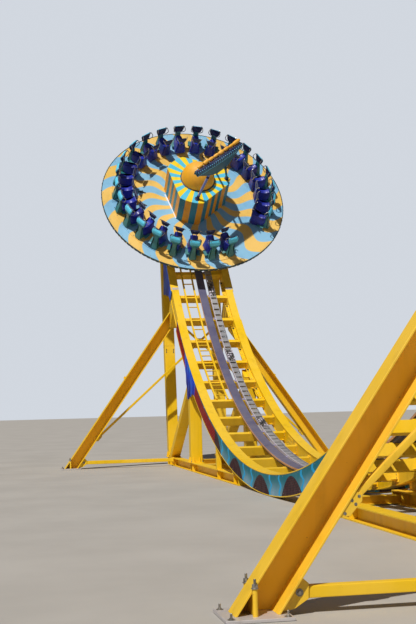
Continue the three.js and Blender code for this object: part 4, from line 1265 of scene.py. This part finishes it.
def hull(share, aside, rise):
    """A point by its share of the hull's length, its offset and its height over the upper edge."""
    place = STERN + (BOW - STERN) * share + aside * vec(-KEEL[1], KEEL[0])
    return DISC.spot(*place, HULL_TOP + rise)


def station(share):
    return [float(np.interp(share, STATIONS[:, 0], STATIONS[:, k])) for k in (1, 2, 3)]


def hull_edge(piece, side):
    """Navy band over the upper edge, with cyan ticks and a cyan line under it."""
    band, line = [], []
    for f in np.linspace(0.01, 0.99, 33):
        a = side * (station(f)[0] + 0.004)
        band.append([hull(f, *p) for p in (
            (side * 0.006, 0.048), (a, 0.038), (a + side * 0.012, 0.026), (a + side * 0.012, -0.078),
            (a - side * 0.02, -0.078), (side * 0.006, 0.03))])
        line.append([hull(f, *p) for p in rect(a - side * 0.01, a + side * 0.016, -0.079, -0.096)])
    piece.loft(band, "navy")
    piece.loft(line, "cyan")
    for k in range(24):
        f = 0.03 + 0.94 * k / 23
        a = side * (station(f)[0] + 0.016)
        tick = Axes(hull(f, a, -0.028), ALONG, DISC.basis[2], side * ACROSS)
        piece.box(tick, mid(0.009), (-0.044, 0.052), (-0.006, 0.008), 0.003, "cyan")
        inwards = unit(hull(f, side * 0.02, 0.048) - hull(f, a, 0.040))
        over = Axes(hull(f, a, 0.040), ALONG, inwards, DISC.basis[2])
        piece.box(over, mid(0.009), (0.004, 0.45 * abs(a)), (-0.006, 0.007), 0.003, "cyan")


def lobes(piece):
    """Long rounded lobes that overlap like shingles along the far edge, and small lamps before them."""
    rise = unit(ALONG + 0.10 * DISC.basis[2])
    for k, f in enumerate((0.14, 0.26, 0.37, 0.48, 0.59, 0.70, 0.81, 0.925)):
        half = 0.115 if k < 7 else 0.165
        r = (0.050, 0.066, 0.056)[k % 3]
        centre = Axes(hull(f, 0.105, 0.072 + 0.012 * (k % 2)), rise, ACROSS, np.cross(rise, ACROSS))
        rings = []
        for j in range(1, 14):
            a = math.pi * j / 14
            swell = r * math.sin(a) ** 0.55
            rings.append(centre.at([(-half * math.cos(a), b, 0.95 * c) for b, c in regular(swell, 16)]))
        piece.loft(rings, "gold")
    for k in range(26):
        lamp = Axes(hull(0.06 + 0.9 * k / 25, 0.035, 0.032), ALONG, ACROSS, DISC.basis[2])
        piece.solid_lathe(lamp, [(0.014, -0.004), (0.016, 0.006), (0.012, 0.016), (0.004, 0.02)], 10,
                          "lamp" if k % 2 else "redlamp")


def ornament():
    """A long deep-keeled wedge with a ridge of rounded lobes on top, on three raking legs."""
    piece = Piece("teal")
    rings = []
    for f in np.arange(25) / 24:
        half, keel, deep = station(f)
        rings.append([hull(f, *p) for p in (
            (-half, 0), (-half * 0.5, 0.035), (0, 0.045), (half * 0.5, 0.035), (half, 0),
            ((half + keel) / 2 + 0.02, -deep * 0.55), (keel + 0.01, -deep), (keel - 0.01, -deep),
            ((-half + keel) / 2 - 0.01, -deep * 0.55))])
    piece.loft(rings)
    for side in BOTH:
        hull_edge(piece, side)
    lobes(piece)
    lid = HUB_HIGH + 0.0003
    for (a, b), place, radius, finish in (
        ((-0.975, 0.12), (0.33, -0.01, -0.49), 0.042, "lavender"),
        ((-0.05, -0.985), (0.7, -0.02, -0.64), 0.033, "teal"),
        ((0.6, -0.56), (0.6, 0.01, -0.60), 0.033, "teal"),
    ):
        axes, head = DISC.moved(a, b, lid), hull(*place)
        foot = axes.origin
        piece.tube([foot + (head - foot) * t / 8 for t in range(9)], radius, 14, finish)
        shoe = [(0.085, 0.0), (0.085, 0.018), (0.05, 0.026), (0.044, 0.06), (0.03, 0.062)]
        piece.solid_lathe(axes, shoe, 24, "navy")
        piece.bolts(axes, regular(0.068, 6), 0.006, lift=0.019)
        for start, way in (foot, unit(head - foot)), (head, unit(foot - head)):
            piece.tube([start + way * s for s in (0.06, 0.10, 0.14)], 0.05, 14, "navy")
    lamp = [(0.04, 0.0), (0.042, 0.03), (0.038, 0.05), (0.024, 0.068), (0.006, 0.074)]
    piece.solid_lathe(DISC.moved(-0.1, -1.06, lid), lamp, 16, "lamp")
    piece.make("ornament", "disc")


# Seats

SEAT_STEP, FIRST_SEAT = 360 / 26, 242
SADDLE = refine([(2.05, 0.018), (2.46, 0.018), (2.55, 0.10), (2.60, 0.28), (2.59, 0.42), (2.54, 0.455),
                 (2.45, 0.395), (2.28, 0.385), (2.18, 0.44), (2.12, 0.50), (2.068, 0.51), (2.085, 0.24)], 2)
FRONT = refine([(2.50, 0.018), (2.76, 0.018), (2.745, 0.09), (2.69, 0.24), (2.655, 0.36), (2.675, 0.56),
                (2.655, 0.60), (2.60, 0.59), (2.575, 0.43), (2.56, 0.24)], 2)
GRAB = smooth_line([(2.60, 0.56, 0.10), (2.56, 0.62, 0.17), (2.52, 0.70, 0.20), (2.53, 0.78, 0.20),
                    (2.58, 0.83, 0.18), (2.64, 0.84, 0.13)])
ARM = smooth_line([(2.09, 0.47, 0.05), (2.075, 0.56, 0.08), (2.07, 0.66, 0.12), (2.085, 0.73, 0.16),
                   (2.14, 0.76, 0.185)])


def seat_axes(index):
    """u outwards, v up from the deck, w sideways."""
    return DISC.turned(FIRST_SEAT + index * SEAT_STEP).view("uwv", signs=(1, 1, -1))


def shell(piece, axes, outline, width, finish, slices=9, ease=0.03):
    """An outline in (radius, height) with a width by both, rounded off towards its two sides."""
    rings = []
    for k in range(slices):
        t = -1 + 2 * k / (slices - 1)
        pull = ease * (1 - math.sqrt(max(0.0, 1 - abs(t) ** 4)))
        edge = inset(outline, pull * 1.5) if pull else outline
        rings.append(axes.at([(r, h, t * width(r, h)) for r, h in edge]))
    piece.loft(rings, finish)


def saddle_width(r, h):
    return 0.105 + 0.075 * max(0.0, 1 - h / 0.4) ** 1.3 + 0.03 * max(0, 2.3 - r) / 0.25


def front_width(r, h):
    return 0.085 + 0.05 * max(0.0, 1 - h / 0.45) ** 1.5


def seat(piece, index):
    """Saddle and front pedestal, with foot rests, grab loops and arms."""
    axes = seat_axes(index)
    shell(piece, axes, SADDLE, saddle_width, "seat")
    shell(piece, axes, FRONT, front_width, "pedestal")
    for side in BOTH:
        piece.box(axes, (2.36, 2.6), (0.10, 0.125), (side * 0.12, side * 0.24), 0.008, "pedestal")
        for line, radius in (GRAB, 0.012), (ARM, 0.013):
            piece.tube([axes.spot(r, h, side * w) for r, h, w in line], radius, 8, "loop")
    piece.bolts(axes.view("uwv", 2.4, 0.0163), product((-0.29, 0.33), mid(0.17)), 0.01)


def seat_bank(name, first):
    """Four seats on a curved plate."""
    piece = Piece("seat")
    outline = [(2.03, 0.0003), (2.78, 0.0003), (2.78, 0.012), (2.776, 0.0163), (2.034, 0.0163), (2.03, 0.012)]
    start = FIRST_SEAT + first * SEAT_STEP - 4.6
    piece.lathe(DISC, outline, 36, "deck", (start, start + 3 * SEAT_STEP + 9.2))
    for index in range(first, first + 4):
        seat(piece, index)
    piece.make(name, "disc")


def applied(obj):
    """The object's mesh with its modifiers applied."""
    graph = bpy.context.evaluated_depsgraph_get()
    graph.update()
    return bpy.data.meshes.new_from_object(obj.evaluated_get(graph))


def coordinates(mesh):
    flat = np.empty(len(mesh.vertices) * 3)
    mesh.vertices.foreach_get("co", flat)
    return flat.reshape(-1, 3)


def blown_up(name, outline, thick, voxel, cap, frames=20, pressure=4):
    """A block remeshed and blown up as cloth, each point moved by no more than the cap."""
    block = Piece("pad")
    block.prism(GROUND, outline, (-thick / 2, thick / 2), thick * 0.3)
    points, faces, _ = block.shells["pad"]
    obj = link(name, new_mesh(name, np.concatenate(points).tolist(), faces))
    remesh = obj.modifiers.new("voxels", "REMESH")
    remesh.mode, remesh.voxel_size = "VOXEL", voxel
    before = applied(obj)
    obj.modifiers.clear()
    obj.data = before
    cloth = obj.modifiers.new("cloth", "CLOTH").settings
    cloth.use_pressure, cloth.uniform_pressure_force = True, pressure
    cloth.effector_weights.gravity = 0
    for number in range(1, frames + 1):
        bpy.context.scene.frame_set(number)
    rest, blown = coordinates(before), coordinates(applied(obj))
    bpy.context.scene.frame_set(1)
    bpy.data.objects.remove(obj)
    move = blown - rest
    move -= move.mean(0)
    length = np.linalg.norm(move, axis=1, keepdims=True)
    shape = rest + move * np.minimum(1, cap / np.maximum(length, 1e-9))
    return shape, [tuple(p.vertices) for p in before.polygons]


def piping(edge, pipe):
    """A thin closed tube round the outermost points of an edge."""
    centre = np.array([edge[:, 0].mean(), edge[:, 1].mean()])
    turns = np.arctan2(edge[:, 1] - centre[1], edge[:, 0] - centre[0])
    reach = np.hypot(edge[:, 0] - centre[0], edge[:, 1] - centre[1])
    loop = []
    for k in range(48):
        turn = -math.pi + 2 * math.pi * k / 48
        away = np.abs((turns - turn + math.pi) % (2 * math.pi) - math.pi)
        r = reach[away < 0.11].max() + pipe * 0.3
        loop.append(vec(centre[0] + r * math.cos(turn), centre[1] + r * math.sin(turn), 0))
    piece = Piece("pad")
    piece.tube(loop, pipe, 6, closed=True)
    rings, faces, _ = piece.shells["pad"]
    return rings, faces


def foam_pad(name, finish, outline, thick, voxel, channels, curl=0.0, cap=0.011, pipe=0.0055):
    """A foam pad, sewn along channels and piped round its edge.

    The curl bends its upper part back, in metres per square metre of height.
    """
    shape, skin = blown_up(name, outline, thick, voxel, cap)
    for level in channels:
        shape[:, 2] *= 1 - 0.22 * np.exp(-((shape[:, 1] - level) / 0.010) ** 2)
    rings, faces = piping(shape[np.abs(shape[:, 2]) < 0.5 * voxel], pipe)
    sewn = np.concatenate([shape] + rings)
    sewn[:, 2] -= curl * np.maximum(0.0, sewn[:, 1] + 0.01) ** 2
    mesh = new_mesh(name, sewn.tolist(), skin + [tuple(len(shape) + i for i in face) for face in faces])
    face_outwards(mesh)
    mesh.materials.append(FINISHES[finish][1])
    return mesh


def shield(wide, high, waist):
    """A panel outline, broad above and drawn in below."""
    a, b = wide / 2, high / 2
    half = [(a * 0.86, -b * 0.5), (a, b * 0.25), (a, b * 0.97), (a * 0.9, b)]
    return refine([(-waist, -b), (waist, -b)] + mirrored(half), 2)


def pads():
    """Chest panels on a dark edge pad, and back pads: moulded foam, one set for each seat."""
    chest = foam_pad("chest_panel", "panel", shield(0.355, 0.29, 0.10), 0.036, 0.0088, (-0.07, 0.055), 3.0)
    edge = foam_pad("chest_edge", "pad", shield(0.385, 0.32, 0.115), 0.030, 0.0095, (), 3.0)
    back = foam_pad("back_pad", "pad", shield(0.29, 0.19, 0.10), 0.044, 0.0095, (-0.035, 0.035))
    lean = math.atan2(0.035, 0.31)
    for index in range(24):
        axes = seat_axes(index)
        outwards, upright, sideways = axes.basis
        tilt = unit(upright * math.cos(lean) + outwards * math.sin(lean))
        out = np.cross(tilt, sideways)
        out = out if out @ outwards > 0 else -out
        for title, mesh, finish, r, h, along, normal in (
            ("chest_panel", chest, "panel", 2.674, 0.688, tilt, out),
            ("chest_edge", edge, "pad", 2.648, 0.69, tilt, out),
            ("back_pad", back, "pad", 2.098, 0.655, upright, outwards),
        ):
            basis = Matrix([list(sideways), list(along), list(normal)]).transposed().to_4x4()
            place = Matrix.Translation(axes.spot(r, h)) @ basis
            obj = link(f"{title}_{index + 1}", mesh, place)
            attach(obj, "disc")


for build in (underframe, deck, rim, hub, dome, ornament):
    build()
for bank in range(6):
    seat_bank(f"seat_bank_{bank + 1}", bank * 4)
pads()

# Floor and light


def floor(size=220, z=-0.002):
    paint = Paint("floor")
    tone = paint.mix(paint.noise(0.5, 4).span(0.3, 0.7), (180, 177, 172), (188, 185, 180))
    corners = [(x, y, z) for x, y in rect(-size, size, -size, size)]
    obj = link("floor", new_mesh("floor", corners, [(0, 1, 2, 3)]))
    obj.data.materials.append(paint.finish(tone, 0.9))


def sun(direction=(-0.50, 0.35, 0.79)):
    data = bpy.data.lights.new("key", "SUN")
    data.energy, data.angle, data.color = 3.4, rad(1.2), (1.0, 0.965, 0.90)
    link("key", data).rotation_euler = Vector(direction).to_track_quat("Z", "Y").to_euler()


def studio():
    """A pale backdrop for the camera and a dimmer sky for the light."""
    world = bpy.data.worlds.new("studio")
    bpy.context.scene.world = world
    world.use_nodes = True
    tree = world.node_tree
    sky, backdrop = tree.nodes["Background"], tree.nodes.new("ShaderNodeBackground")
    for lit, colour, strength in (sky, (0.78, 0.77, 0.90, 1), 0.165), (backdrop, (0.70, 0.74, 0.80, 1), 0.95):
        lit.inputs[0].default_value, lit.inputs[1].default_value = colour, strength
    path, mix = tree.nodes.new("ShaderNodeLightPath"), tree.nodes.new("ShaderNodeMixShader")
    for k, output in enumerate((path.outputs["Is Camera Ray"], sky.outputs[0], backdrop.outputs[0])):
        tree.links.new(output, mix.inputs[k])
    tree.links.new(mix.outputs[0], tree.nodes["World Output"].inputs[0])


photo_camera()
floor()
sun()
studio()
view = bpy.context.scene.view_settings
view.view_transform, view.gamma = "Standard", 0.92
